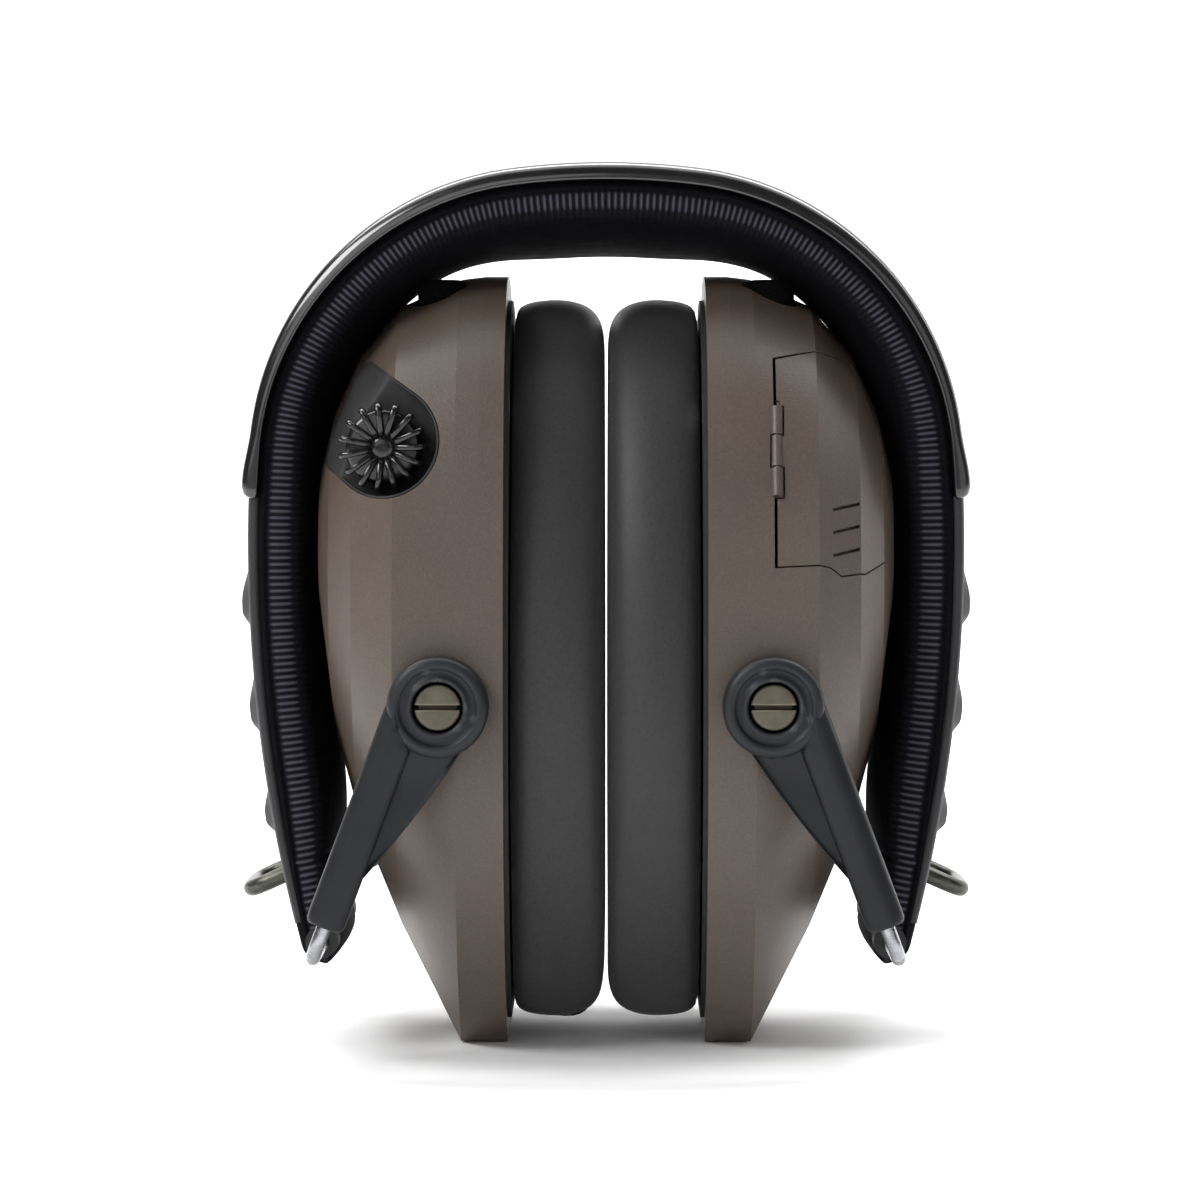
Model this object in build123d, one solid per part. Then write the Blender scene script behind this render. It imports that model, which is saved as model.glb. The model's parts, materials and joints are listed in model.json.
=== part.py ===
from build123d import *
from math import asin, atan2, cos, degrees, hypot, radians, sin
import os

# Folding earmuff: a sprung headband, two yokes on wire axles and two oval cups.
# Millimetres. X runs from ear to ear, -Y is the front, Z is up. The muff is folded: the cups
# stand on the floor with their cushions facing each other, and the band arches over them.

# ---- driving dimensions -------------------------------------------------------------------
BAND_TOP = 124.5            # height of the band's outer surface at the middle
CROWN_RADIUS = 104.9        # outer radii of the three arcs that make half of the band
SHOULDER_RADIUS = 42.1
SIDE_RADIUS = 219.4
CROWN_ANGLE = 7.3           # degrees from the vertical at which each arc ends
SHOULDER_ANGLE = 86.3
SIDE_ANGLE = 104.1
SPLIT_ANGLE = 30.0          # where the crown meets the flexing sides
COVER_END_ANGLE = 88.0      # where the cover stops and the grip strip begins

COVER_HALF_WIDTH = 21.4
COVER_THICKNESS = 1.6
COVER_LIP = 3.0
COVER_LIP_WIDTH = 1.2
PAD_HALF_WIDTH = 20.0
CROWN_PAD = (8.0, 11.8)     # depth below the outer surface at the pad's edge and at its middle
SIDE_PAD = (7.6, 9.6)
SLEEVE = 0.9
SPRING_RADIUS = 1.2
SPRING_Y = 7.2
SPRING_DEPTH = 4.6
SPRING_END_ANGLE = 102.1    # where the springs leave the padding for the end loop
END_LOOP_REACH = 11.0
END_LOOP_DROP = 24.0        # degrees below the horizontal
END_LOOP_BEND = 3.0
GRIP_ANGLES = ((90.5, 92.6), (94.5, 96.6), (98.8, 100.4))
GRIP_HALF_WIDTH = 14.0
GRIP_RISE = 1.3
STRIP_SUNK = 0.2            # how far the grip strip lies below the cover's outer surface

BARREL_X, BARREL_Z = 39.9, 15.1
BARREL_RADIUS = 2.3
BARREL_HALF_LENGTH = 21.0
END_FOLD_RADIUS = 3.1
YOKE_RADIUS = 1.0
YOKE_BEND = 3.2
YOKE_LEG = 30.0
RUNNING_GAP = 0.06

PIVOT_X, PIVOT_Z = 22.7, 49.6
ARM_Y = 41.3
SPINE_RADIUS = 2.7
SPINE_OFFSET = 4.0          # the spine lies on the outer side of the pivot ring
RING_RADIUS = 6.9
RING_BACK, RING_FRONT = 38.9, 43.4
SPINE_START, SPINE_LENGTH = 5.0, 34.0
BORE_START, BORE_LENGTH = 4.0, 27.5
WEB_START = 7.0
WEB_BACK, WEB_FRONT = 39.4, 41.6
PIN_HEAD_RADIUS = 3.1
PIN_HEAD_GAP = 0.35
PIN_RADIUS = 2.4
PIN_DEPTH = 33.5            # the pin's inner end
PIN_HEAD_BACK, PIN_HEAD_FRONT = 40.8, 42.6
PIN_SLOT_HALF, PIN_SLOT_DEPTH = 0.35, 0.6
BOSS_RADIUS, BOSS_BACK, BOSS_FRONT = 5.0, 33.0, 38.5

CUSHION_FACE = 0.2          # half of the gap between the two cushions
CUSHION_BACK = 13.4
FLANGE_BACK = 14.0
PLATE_BACK = 17.3
# cushion sections: distance from the middle plane and inset from the cup's outline
CUSHION_SECTIONS = ((CUSHION_FACE, 8.0), (1.4, 5.0), (4.2, 3.0), (9.6, 2.8), (12.2, 3.8), (CUSHION_BACK, 6.0))
WALL = 2.0
# cup sections: distance from the middle plane, lowest and highest point, half depth, half flat
CUP_SECTIONS = (
    (PLATE_BACK, 0.0, 109.0, 38.2, 13.0),
    (20.6, 0.0, 108.6, 38.2, 13.0),
    (29.1, 16.5, 104.8, 38.0, 11.0),
    (35.0, 30.5, 98.0, 33.0, 9.0),
    (38.5, 43.0, 90.5, 27.0, 7.0),
    (40.4, 58.0, 83.0, 19.0, 5.0),
)
CUP_WAIST = 0.46            # height of the deepest line, as a share of a section's height

KNOB_X, KNOB_Z = 30.6, 84.6
KNOB_RADIUS = 6.2
KNOB_FRONT, KNOB_BACK = 33.0, 27.6
KNOB_FINS = 15
KNOB_FIN_HALF = 0.45
KNOB_FIN_LENGTH = 1.6
STEM_RADIUS = 1.5
SOCKET_RADIUS = 7.9
SOCKET_RISE = 0.9           # the socket's centre lies above the knob's
SOCKET_RUN = (6.0, 4.2)     # the socket runs out of the cup's side, outwards and upwards
SOCKET_FLOOR = 26.6
SOCKET_WALL = 1.2
CONTROL_RADIUS, CONTROL_LENGTH = 2.3, 3.6
BOARD_LOW, BOARD_HIGH = (21.0, -16.0, 69.0), (22.6, 16.0, 97.0)

DOOR_X = 23.4               # the door's hinge side
DOOR_LOW_Z, DOOR_HIGH_Z = 68.5, 98.0
DOOR_WRAP = 13.0            # how far the door reaches back around the cup's outer side
# the door's foot, stepped down to a finger tab, and its sloping head: distance from the hinge
# line and height above the foot or below the head; both rise where the wall turns back, so that
# they look level from the front
DOOR_FOOT = ((0.0, 0.0), (7.2, 0.3), (8.8, -0.4), (12.2, 0.9), (15.6, 4.6), (18.4, 7.0))
DOOR_HEAD = ((18.4, 4.0), (6.0, 0.6), (0.0, -1.6))
GROOVE_HEIGHTS = (1.9, 5.0, 8.1)
GROOVE_SPAN = (7.6, 11.4)
GROOVE_RISE = 1.9
GROOVE_DEPTH, GROOVE_HALF = 0.45, 0.25
DOOR_GAP = 0.25
HINGE_SUNK = 0.35           # depth of the door's hinge line below the wall's surface
HINGE_GAP = 0.42
KNUCKLE = 0.8
HINGE_PIN = 0.4
HINGE_HALF, DOOR_KNUCKLE_HALF = 6.5, 2.2
TRAY_LOW, TRAY_HIGH = (22.3, -18.7, 39.5), (33.3, 5.3, 88.1)
TRAY_WALLS = (0.6, 0.8, 1.0)
CELL_RADIUS, CELL_LENGTH = 5.25, 44.5
CELL_X, CELL_YS = 27.2, (-12.9, -1.4)
CONTACT_THICKNESS = 0.6

SPEAKER_Z = 52.0
SCREW_PLACES = ((-27, 25), (27, 25), (-24, 90), (24, 90))
SCREW_HEAD_RADIUS, SCREW_RADIUS = 2.2, 1.2

MIC_X, MIC_Y = 23.2, -10.5
MIC_RADIUS = 3.5
MIC_LOW, MIC_HIGH = 101.6, 108.2
MIC_GAP = 0.4
MIC_CAPSULE_RADIUS, MIC_CAPSULE_LENGTH = 2.0, 2.0


# ---- helpers ------------------------------------------------------------------------------
def mirrored(shape, side):
    """Shapes are drawn on the +X side and mirrored for the other one."""
    return shape if side > 0 else shape.mirror(Plane.YZ)


def cylinder_y(radius, x, z, y0, y1):
    plane = Plane(origin=(x, y0, z), z_dir=(0, 1, 0))
    return Solid.make_cylinder(radius, y1 - y0, plane)


def cylinder_x(radius, x0, x1, y, z):
    plane = Plane(origin=(x0, y, z), z_dir=(1, 0, 0))
    return Solid.make_cylinder(radius, x1 - x0, plane)


def cylinder_z(radius, x, y, z0, z1):
    return Solid.make_cylinder(radius, z1 - z0, Plane(origin=(x, y, z0)))


def box_between(low, high):
    size = [b - a for a, b in zip(low, high)]
    return Solid.make_box(*size, Plane(origin=low))


def one_solid(shape):
    """The largest solid of a boolean result."""
    return max(shape.solids(), key=lambda s: s.volume)


def span(sign, back, front):
    """The two Y values of a slab on the front (sign -1) or the rear (sign 1), low one first."""
    return sorted((sign * back, sign * front))


def polygon_y(points, y0, y1):
    """A prism along Y over a polygon given in X and Z."""
    wire = Wire.make_polygon([Vector(x, y0, z) for x, z in points])
    return Solid.extrude(Face(wire), Vector(0, y1 - y0, 0))


# ---- the headband -------------------------------------------------------------------------
def band_arcs():
    """The outer surface's arcs on the +X side: centre, radius, start and end angle."""
    crown = (0.0, BAND_TOP - CROWN_RADIUS)
    step = CROWN_RADIUS - SHOULDER_RADIUS
    a = radians(CROWN_ANGLE)
    shoulder = (crown[0] + step * sin(a), crown[1] + step * cos(a))
    step = SHOULDER_RADIUS - SIDE_RADIUS
    a = radians(SHOULDER_ANGLE)
    side = (shoulder[0] + step * sin(a), shoulder[1] + step * cos(a))
    return (
        (crown, CROWN_RADIUS, 0.0, CROWN_ANGLE),
        (shoulder, SHOULDER_RADIUS, CROWN_ANGLE, SHOULDER_ANGLE),
        (side, SIDE_RADIUS, SHOULDER_ANGLE, SIDE_ANGLE),
    )


def band_point(angle, depth=0.0):
    """X and Z of a point of the band, by its angle and its depth below the outer surface."""
    for centre, radius, start, end in band_arcs():
        if start <= angle <= end + 1e-6:
            a = radians(angle)
            return centre[0] + (radius - depth) * sin(a), centre[1] + (radius - depth) * cos(a)
    raise ValueError(angle)


def band_sweep(profile, first, last):
    """Revolve a profile, points of (y, depth) or a circle, along the band between two angles."""
    pieces = []
    for centre, radius, start, end in band_arcs():
        low = max(first, start)
        high = min(last, end)
        if high - low < 1e-6:
            continue
        a = radians(low)
        out = Vector(sin(a), 0, cos(a))
        origin = Vector(centre[0], 0, centre[1]) + out * radius
        plane = Plane(origin=origin, x_dir=(0, 1, 0), z_dir=out.cross(Vector(0, 1, 0)))
        face = Face(profile(plane))
        axis = Axis((centre[0], 0, centre[1]), (0, 1, 0))
        pieces.append(Solid.revolve(face, high - low, axis))
    result = pieces[0]
    for piece in pieces[1:]:
        result = one_solid(result.fuse(piece))
    return result


def depth_point(plane, y, depth):
    """A point of a section plane whose local X is along the world's Y."""
    sign = 1 if plane.y_dir.dot(plane.origin - Vector(0, 0, 60)) > 0 else -1
    return plane.from_local_coords(Vector(y, -sign * depth, 0))


def cover_profile(plane):
    w, t, lip, lw = COVER_HALF_WIDTH, COVER_THICKNESS, COVER_LIP, COVER_LIP_WIDTH
    points = [(-w, 0), (w, 0), (w, lip), (w - lw, lip), (w - lw, t), (lw - w, t), (lw - w, lip), (-w, lip)]
    return Wire.make_polygon([depth_point(plane, y, d) for y, d in points])


def strip_profile(plane):
    w = COVER_HALF_WIDTH - COVER_LIP_WIDTH
    points = [(-w, STRIP_SUNK), (w, STRIP_SUNK), (w, COVER_THICKNESS), (-w, COVER_THICKNESS)]
    return Wire.make_polygon([depth_point(plane, y, d) for y, d in points])


def pad_profile(depths, inset):
    """The padded band's section: flat against the cover, crowned towards the head."""
    edge, middle = depths
    w = PAD_HALF_WIDTH - inset

    def profile(plane):
        top = COVER_THICKNESS + inset
        a = depth_point(plane, -w, top)
        b = depth_point(plane, w, top)
        c = depth_point(plane, w, edge - inset)
        m = depth_point(plane, 0, middle - inset)
        d = depth_point(plane, -w, edge - inset)
        return Wire([Edge.make_line(a, b), Edge.make_line(b, c), Edge.make_three_point_arc(c, m, d),
                     Edge.make_line(d, a)])
    return profile


def spring_profile(y):
    def profile(plane):
        centre = depth_point(plane, y, SPRING_DEPTH)
        return Wire.make_circle(SPRING_RADIUS, Plane(origin=centre, z_dir=plane.z_dir))
    return profile


def springs(first, last):
    return [band_sweep(spring_profile(y), first, last) for y in (-SPRING_Y, SPRING_Y)]


def end_loop():
    """The hairpin that joins the two springs outside the lower end of the band."""
    x, z = band_point(SPRING_END_ANGLE, SPRING_DEPTH)
    drop = radians(END_LOOP_DROP)
    out = Vector(cos(drop), 0, -sin(drop))
    front = Vector(x, -SPRING_Y, z)
    rear = Vector(x, SPRING_Y, z)
    path = FilletPolyline(front, front + out * END_LOOP_REACH, rear + out * END_LOOP_REACH, rear,
                          radius=END_LOOP_BEND)
    profile = Face(Wire.make_circle(SPRING_RADIUS, Plane(origin=front, z_dir=out)))
    return Solid.sweep(profile, Wire(path.edges()))


def end_fold(hollow):
    """The lower end of the sleeve: a wedge that runs into a loop around the hinge barrel."""
    outer = band_point(SIDE_ANGLE, COVER_THICKNESS)
    inner = band_point(SIDE_ANGLE, SIDE_PAD[0])
    r = END_FOLD_RADIUS
    side, foot = 0.93 * r, BARREL_Z - 0.3 * r
    corners = [outer, (BARREL_X + side, foot), (BARREL_X - side, foot), inner]
    wedge = polygon_y(corners, -PAD_HALF_WIDTH, PAD_HALF_WIDTH)
    loop = cylinder_y(r, BARREL_X, BARREL_Z, -PAD_HALF_WIDTH, PAD_HALF_WIDTH)
    return one_solid(wedge.fuse(loop).cut(hollow))


def grip_strip():
    """The rubber strip below the cover, with three wedge-shaped grips."""
    strip = band_sweep(strip_profile, COVER_END_ANGLE + 0.1, SIDE_ANGLE)
    root = COVER_THICKNESS / 2
    for top, bottom in GRIP_ANGLES:
        corners = [band_point(top, root), band_point(bottom - 0.5, -GRIP_RISE),
                   band_point(bottom, -GRIP_RISE), band_point(bottom + 0.1, root)]
        wedge = polygon_y(corners, -GRIP_HALF_WIDTH, GRIP_HALF_WIDTH)
        strip = one_solid(strip.fuse(wedge))
    return strip


def both_halves(half):
    return one_solid(half.fuse(half.mirror(Plane.YZ)))


def crown_parts():
    steel = springs(0.0, SPLIT_ANGLE)
    pad = band_sweep(pad_profile(CROWN_PAD, 0.0), 0.0, SPLIT_ANGLE)
    core = band_sweep(pad_profile(CROWN_PAD, SLEEVE), 0.0, SPLIT_ANGLE)
    return {
        "crown_sleeve": both_halves(one_solid(pad.cut(core))),
        "crown_foam": both_halves(one_solid(core.cut(*steel))),
        "crown_cover": both_halves(band_sweep(cover_profile, 0.0, SPLIT_ANGLE)),
        "crown_springs": Compound([both_halves(s) for s in steel]),
    }


def headband():
    parts = crown_parts()
    side_springs = springs(SPLIT_ANGLE, SPRING_END_ANGLE)
    frame = end_loop()
    for s in side_springs:
        frame = one_solid(frame.fuse(s))
    pad = band_sweep(pad_profile(SIDE_PAD, 0.0), SPLIT_ANGLE, SIDE_ANGLE)
    core = band_sweep(pad_profile(SIDE_PAD, SLEEVE), SPLIT_ANGLE, SIDE_ANGLE - 0.3)
    barrel_space = cylinder_y(BARREL_RADIUS, BARREL_X, BARREL_Z, -BARREL_HALF_LENGTH, BARREL_HALF_LENGTH)
    sleeve = one_solid(pad.fuse(end_fold(barrel_space)).cut(core).cut(frame))
    foam = one_solid(core.cut(frame))
    cover = band_sweep(cover_profile, SPLIT_ANGLE, COVER_END_ANGLE)
    grip = one_solid(grip_strip().cut(frame))
    bore = cylinder_y(YOKE_RADIUS + RUNNING_GAP, BARREL_X, BARREL_Z, -BARREL_HALF_LENGTH, BARREL_HALF_LENGTH)
    barrel = one_solid(barrel_space.cut(bore))
    for side, label in ((-1, "left"), (1, "right")):
        for name, shape in (("springs", frame), ("sleeve", sleeve), ("foam", foam), ("cover", cover),
                            ("grip_strip", grip), ("hinge_barrel", barrel)):
            parts[f"{label}_{name}"] = mirrored(shape, side)
    return parts


# ---- the yokes ----------------------------------------------------------------------------
def spine_direction():
    dx, dz = PIVOT_X - BARREL_X, PIVOT_Z - BARREL_Z
    angle = atan2(dz, dx) - asin(SPINE_OFFSET / hypot(dx, dz))
    return Vector(cos(angle), 0, sin(angle))


def yoke_wire():
    """A wire bent into a U: its base is the axle in the barrel, its legs slide in the arms."""
    up = spine_direction()
    base = Vector(BARREL_X, 0, BARREL_Z)
    reach = Vector(0, ARM_Y, 0)
    leg = up * YOKE_LEG
    corners = [base - reach + leg, base - reach, base + reach, base + reach + leg]
    path = FilletPolyline(*corners, radius=YOKE_BEND)
    section = Wire.make_circle(YOKE_RADIUS, Plane(origin=corners[0], z_dir=up * -1))
    return Solid.sweep(section, Wire(path.edges()))


def arm(sign):
    """A ring on the cup's pivot, a tubular spine that holds the wire and a thin web between them."""
    up = spine_direction()
    y_low, y_high = span(sign, RING_BACK, RING_FRONT)
    base = Vector(BARREL_X, sign * ARM_Y, BARREL_Z)
    tube = Plane(origin=base + up * SPINE_START, z_dir=up)
    spine = Solid.make_cylinder(SPINE_RADIUS, SPINE_LENGTH, tube)
    trim = box_between((0, y_low, 0), (2 * BARREL_X, y_high, 2 * PIVOT_Z))
    spine = one_solid(spine.intersect(trim))
    ring = cylinder_y(RING_RADIUS, PIVOT_X, PIVOT_Z, y_low, y_high)
    inward = Vector(-up.Z, 0, up.X)
    foot = base + up * WEB_START
    web_top = Vector(PIVOT_X, 0, PIVOT_Z) + inward * (RING_RADIUS - 1.0)
    corners = [(foot.X, foot.Z), (web_top.X, web_top.Z), (PIVOT_X, PIVOT_Z)]
    web = polygon_y(corners, *span(sign, WEB_BACK, WEB_FRONT))
    body = one_solid(ring.fuse(spine).fuse(web))
    bore = Plane(origin=base + up * BORE_START, z_dir=up)
    body = body.cut(Solid.make_cylinder(YOKE_RADIUS + RUNNING_GAP, BORE_LENGTH, bore))
    recess = span(sign, PIN_HEAD_BACK - 0.1, RING_FRONT + 1)
    body = body.cut(cylinder_y(PIN_HEAD_RADIUS + PIN_HEAD_GAP, PIVOT_X, PIVOT_Z, *recess))
    hole = cylinder_y(PIN_RADIUS + RUNNING_GAP, PIVOT_X, PIVOT_Z, y_low - 1, y_high + 1)
    return one_solid(body.cut(hole))


def pivot_pins():
    pins = []
    for sign in (-1, 1):
        head = cylinder_y(PIN_HEAD_RADIUS, PIVOT_X, PIVOT_Z, *span(sign, PIN_HEAD_BACK, PIN_HEAD_FRONT))
        shaft = cylinder_y(PIN_RADIUS, PIVOT_X, PIVOT_Z, *span(sign, PIN_DEPTH, PIN_HEAD_BACK + 0.2))
        slot_low, slot_high = span(sign, PIN_HEAD_FRONT - PIN_SLOT_DEPTH, PIN_HEAD_FRONT + 1)
        slot = box_between((PIVOT_X - RING_RADIUS, slot_low, PIVOT_Z - PIN_SLOT_HALF),
                           (PIVOT_X + RING_RADIUS, slot_high, PIVOT_Z + PIN_SLOT_HALF))
        pins.append(one_solid(head.fuse(shaft).cut(slot)))
    return Compound(pins)


# ---- the cups -----------------------------------------------------------------------------
def oval(x, low, high, half_depth, half_flat, inset=0.0):
    """The cup's outline in the plane of X: a flat foot, deep at the waist, round at the top."""
    low = low + inset
    high = high - inset
    waist = low + (high - low) * CUP_WAIST
    h = half_depth - inset
    f = half_flat
    foot_r, foot_l = Vector(x, f, low), Vector(x, -f, low)
    waist_r, waist_l = Vector(x, h, waist), Vector(x, -h, waist)
    top = Vector(x, 0, high)
    return Wire([
        Edge.make_line(foot_l, foot_r),
        Edge.make_spline([foot_r, waist_r], [Vector(0, 1.0, 0.55), Vector(0, 0, 1)]),
        Edge.make_spline([waist_r, top], [Vector(0, 0, 1), Vector(0, -1, 0)]),
        Edge.make_spline([top, waist_l], [Vector(0, -1, 0), Vector(0, 0, -1)]),
        Edge.make_spline([waist_l, foot_l], [Vector(0, 0, -1), Vector(0, 1.0, -0.55)]),
    ])


def plate_outline(x, inset=0.0):
    _, low, high, half_depth, half_flat = CUP_SECTIONS[0]
    return oval(x, low, high, half_depth, half_flat, inset)


def slab(x0, x1, inset=0.0):
    return Solid.extrude(Face(plate_outline(x0, inset)), Vector(x1 - x0, 0, 0))


def cup_loft(inset):
    """The cup's outer form, or with an inset the space inside its wall."""
    wires = []
    for x, low, high, half_depth, half_flat in CUP_SECTIONS:
        wires.append(oval(x - (inset if x > PLATE_BACK else 0), low, high, half_depth, half_flat, inset))
    return Solid.make_loft(wires, ruled=True)


def cup_shell():
    outer = cup_loft(0.0)
    shell = one_solid(outer.cut(cup_loft(WALL)))
    for sign in (-1, 1):
        shell = shell.fuse(cylinder_y(BOSS_RADIUS, PIVOT_X, PIVOT_Z, *span(sign, BOSS_BACK, BOSS_FRONT)))
    for sign in (-1, 1):
        shell = shell.cut(cylinder_y(PIN_RADIUS, PIVOT_X, PIVOT_Z, *span(sign, BOSS_BACK, RING_BACK + 1)))
    pocket = MIC_RADIUS + MIC_GAP
    floor = MIC_LOW - MIC_CAPSULE_LENGTH
    above = CUP_SECTIONS[0][2] + 2.0
    mic_wall = cylinder_z(pocket + 1.0, MIC_X, MIC_Y, floor, above)
    shell = shell.fuse(one_solid(mic_wall.intersect(outer)))
    shell = shell.cut(cylinder_z(pocket, MIC_X, MIC_Y, MIC_LOW, above))
    shell = shell.cut(cylinder_z(MIC_CAPSULE_RADIUS, MIC_X, MIC_Y, floor - 1.0, MIC_LOW + 1.0))
    return one_solid(shell)


def screws():
    heads = []
    for y, z in SCREW_PLACES:
        head = cylinder_x(SCREW_HEAD_RADIUS, CUSHION_BACK, FLANGE_BACK, y, z)
        shank = cylinder_x(SCREW_RADIUS, FLANGE_BACK, PLATE_BACK - 0.3, y, z)
        heads.append(one_solid(head.fuse(shank)))
    return heads


def cushion():
    """A closed oval ring with rounded edges, drawn inside the cup's outline."""
    wires = [plate_outline(x, inset) for x, inset in CUSHION_SECTIONS]
    body = Solid.make_loft(wires, ruled=True)
    hole = Solid.extrude(Face(plate_outline(CUSHION_FACE - 1, 20.0)), Vector(20, 0, 0))
    return one_solid(body.cut(hole))


def common_cup_parts():
    parts = {}
    screw_solids = screws()
    flange = slab(CUSHION_BACK, FLANGE_BACK, 3.4).cut(slab(CUSHION_BACK - 1, FLANGE_BACK + 1, 19.0))
    plate = slab(FLANGE_BACK, PLATE_BACK, 0.0).cut(slab(FLANGE_BACK + 1.6, PLATE_BACK + 1, WALL))
    window = slab(FLANGE_BACK - 1, FLANGE_BACK + 3, 24.0)
    plate = plate.cut(window).cut(*screw_solids)
    flange = flange.cut(*screw_solids)
    parts["ear_cushion"] = cushion()
    parts["cushion_ring"] = one_solid(flange)
    parts["back_plate"] = one_solid(plate)
    parts["plate_screws"] = Compound(screw_solids)
    parts["speaker_foam"] = slab(12.2, FLANGE_BACK, 24.6)
    magnet = cylinder_x(8.0, 17.0, 20.0, 0, SPEAKER_Z)
    parts["speaker"] = one_solid(cylinder_x(13.0, 14.6, 17.0, 0, SPEAKER_Z).fuse(magnet))
    parts["absorber_foam"] = box_between((20.1, -20.0, 34.0), (21.7, 20.0, 66.0))
    foam = cylinder_z(MIC_RADIUS, MIC_X, MIC_Y, MIC_LOW, MIC_HIGH)
    caps = [e for e in foam.edges() if e.center().Z > MIC_HIGH - 0.1]
    parts["microphone_foam"] = foam.fillet(1.2, caps)
    parts["microphone"] = cylinder_z(MIC_CAPSULE_RADIUS, MIC_X, MIC_Y, MIC_LOW - MIC_CAPSULE_LENGTH, MIC_LOW)
    return parts


# ---- the left cup's volume control --------------------------------------------------------
def socket_space(grow, y0, y1):
    """A slot that starts round the knob and runs out of the cup's outer side."""
    radius = SOCKET_RADIUS + grow
    run_x, run_z = SOCKET_RUN
    x0, z0 = KNOB_X, KNOB_Z + SOCKET_RISE
    x1, z1 = x0 + run_x, z0 + run_z
    across = radius / hypot(run_x, run_z)
    side_x, side_z = -run_z * across, run_x * across
    corners = [(x0 + side_x, z0 + side_z), (x1 + side_x, z1 + side_z),
               (x1 - side_x, z1 - side_z), (x0 - side_x, z0 - side_z)]
    ends = [cylinder_y(radius, x, z, y0, y1) for x, z in ((x0, z0), (x1, z1))]
    return one_solid(polygon_y(corners, y0, y1).fuse(*ends))


def knob_socket(shell):
    """A pocket in the wall, with a floor that carries the control."""
    wall = socket_space(1.0, -CUP_SECTIONS[0][3] - 1.0, -SOCKET_FLOOR + SOCKET_WALL)
    shell = shell.fuse(one_solid(wall.intersect(cup_loft(0.0))))
    shell = shell.cut(socket_space(0.0, -CUP_SECTIONS[0][3] - 2.0, -SOCKET_FLOOR))
    hole = cylinder_y(STEM_RADIUS + 0.3, KNOB_X, KNOB_Z, -CUP_SECTIONS[0][3], 3.0 - SOCKET_FLOOR)
    return one_solid(shell.cut(hole))


def volume_knob():
    """A ribbed wheel on a stem that reaches into the control."""
    knob = cylinder_y(KNOB_RADIUS - KNOB_FIN_LENGTH, KNOB_X, KNOB_Z, -KNOB_FRONT + 0.8, -KNOB_BACK)
    fin = box_between((KNOB_X, -KNOB_FRONT, KNOB_Z - KNOB_FIN_HALF),
                      (KNOB_X + KNOB_RADIUS, -KNOB_BACK, KNOB_Z + KNOB_FIN_HALF))
    axis = Axis((KNOB_X, 0, KNOB_Z), (0, 1, 0))
    for i in range(KNOB_FINS):
        knob = knob.fuse(fin.rotate(axis, 360.0 / KNOB_FINS * i))
    stem = cylinder_y(STEM_RADIUS, KNOB_X, KNOB_Z, -KNOB_BACK - 0.5, 3.2 - SOCKET_FLOOR)
    return one_solid(one_solid(knob).fuse(stem))


def control_parts():
    low = SOCKET_WALL - SOCKET_FLOOR
    pot = cylinder_y(CONTROL_RADIUS, KNOB_X, KNOB_Z, low, low + CONTROL_LENGTH)
    bore = cylinder_y(STEM_RADIUS + RUNNING_GAP, KNOB_X, KNOB_Z, low - 1, low + 2.4)
    return {"volume_control": one_solid(pot.cut(bore)), "circuit_board": box_between(BOARD_LOW, BOARD_HIGH)}


# ---- the right cup's battery bay ----------------------------------------------------------
def wall_front(x, z):
    """How far forward the cup's outer wall stands at a point of its front."""
    probe = box_between((x - 0.05, -60, z - 0.05), (x + 0.05, 0, z + 0.05))
    return one_solid(probe.intersect(cup_loft(0.0))).bounding_box().min.Y


def door_frame():
    """A plane whose origin is the foot of the hinge line and whose Z runs up that line."""
    low = Vector(DOOR_X, wall_front(DOOR_X, DOOR_LOW_Z), DOOR_LOW_Z)
    high = Vector(DOOR_X, wall_front(DOOR_X, DOOR_HIGH_Z), DOOR_HIGH_Z)
    middle = Vector(DOOR_X, wall_front(DOOR_X, (low.Z + high.Z) / 2), (low.Z + high.Z) / 2)
    along = high - low
    plane = Plane(origin=low, x_dir=(1, 0, 0), z_dir=along)
    bulge = (middle - low).dot(plane.y_dir)
    return Plane(origin=low + plane.y_dir * (bulge + HINGE_SUNK), x_dir=(1, 0, 0), z_dir=along), along.length


def local_cylinder(frame, radius, z0, z1):
    return Solid.make_cylinder(radius, z1 - z0, Plane(origin=frame.from_local_coords(Vector(0, 0, z0)),
                                                      z_dir=frame.z_dir))


def local_prism(frame, corners, front, back):
    """A prism over corners in the frame's X and Z, between two depths along its Y."""
    points = [frame.from_local_coords(Vector(x, front, z)) for x, z in corners]
    return Solid.extrude(Face(Wire.make_polygon(points)), frame.y_dir * (back - front))


def door_prism(frame, height, hinge_side, grow, wrap):
    """The door's outline, run back through the wall; grow widens it all round."""
    corners = [(x, z - grow) for x, z in DOOR_FOOT] + [(x, height + z + grow) for x, z in DOOR_HEAD]
    corners[0] = (hinge_side, corners[0][1])
    corners[-1] = (hinge_side, corners[-1][1])
    return local_prism(frame, corners, -6.0, wrap)


def finger_grooves(frame):
    """Three shallow grooves across the door above its tab."""
    skin = cup_loft(0.0).cut(cup_loft(GROOVE_DEPTH))
    x0, x1 = GROOVE_SPAN
    h = GROOVE_HALF
    grooves = []
    for z in GROOVE_HEIGHTS:
        end = z + GROOVE_RISE
        corners = ((x0, z - h), (x1, end - h), (x1, end + h), (x0, z + h))
        grooves.append(one_solid(skin.intersect(local_prism(frame, corners, -2.0, 8.0))))
    return grooves


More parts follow.
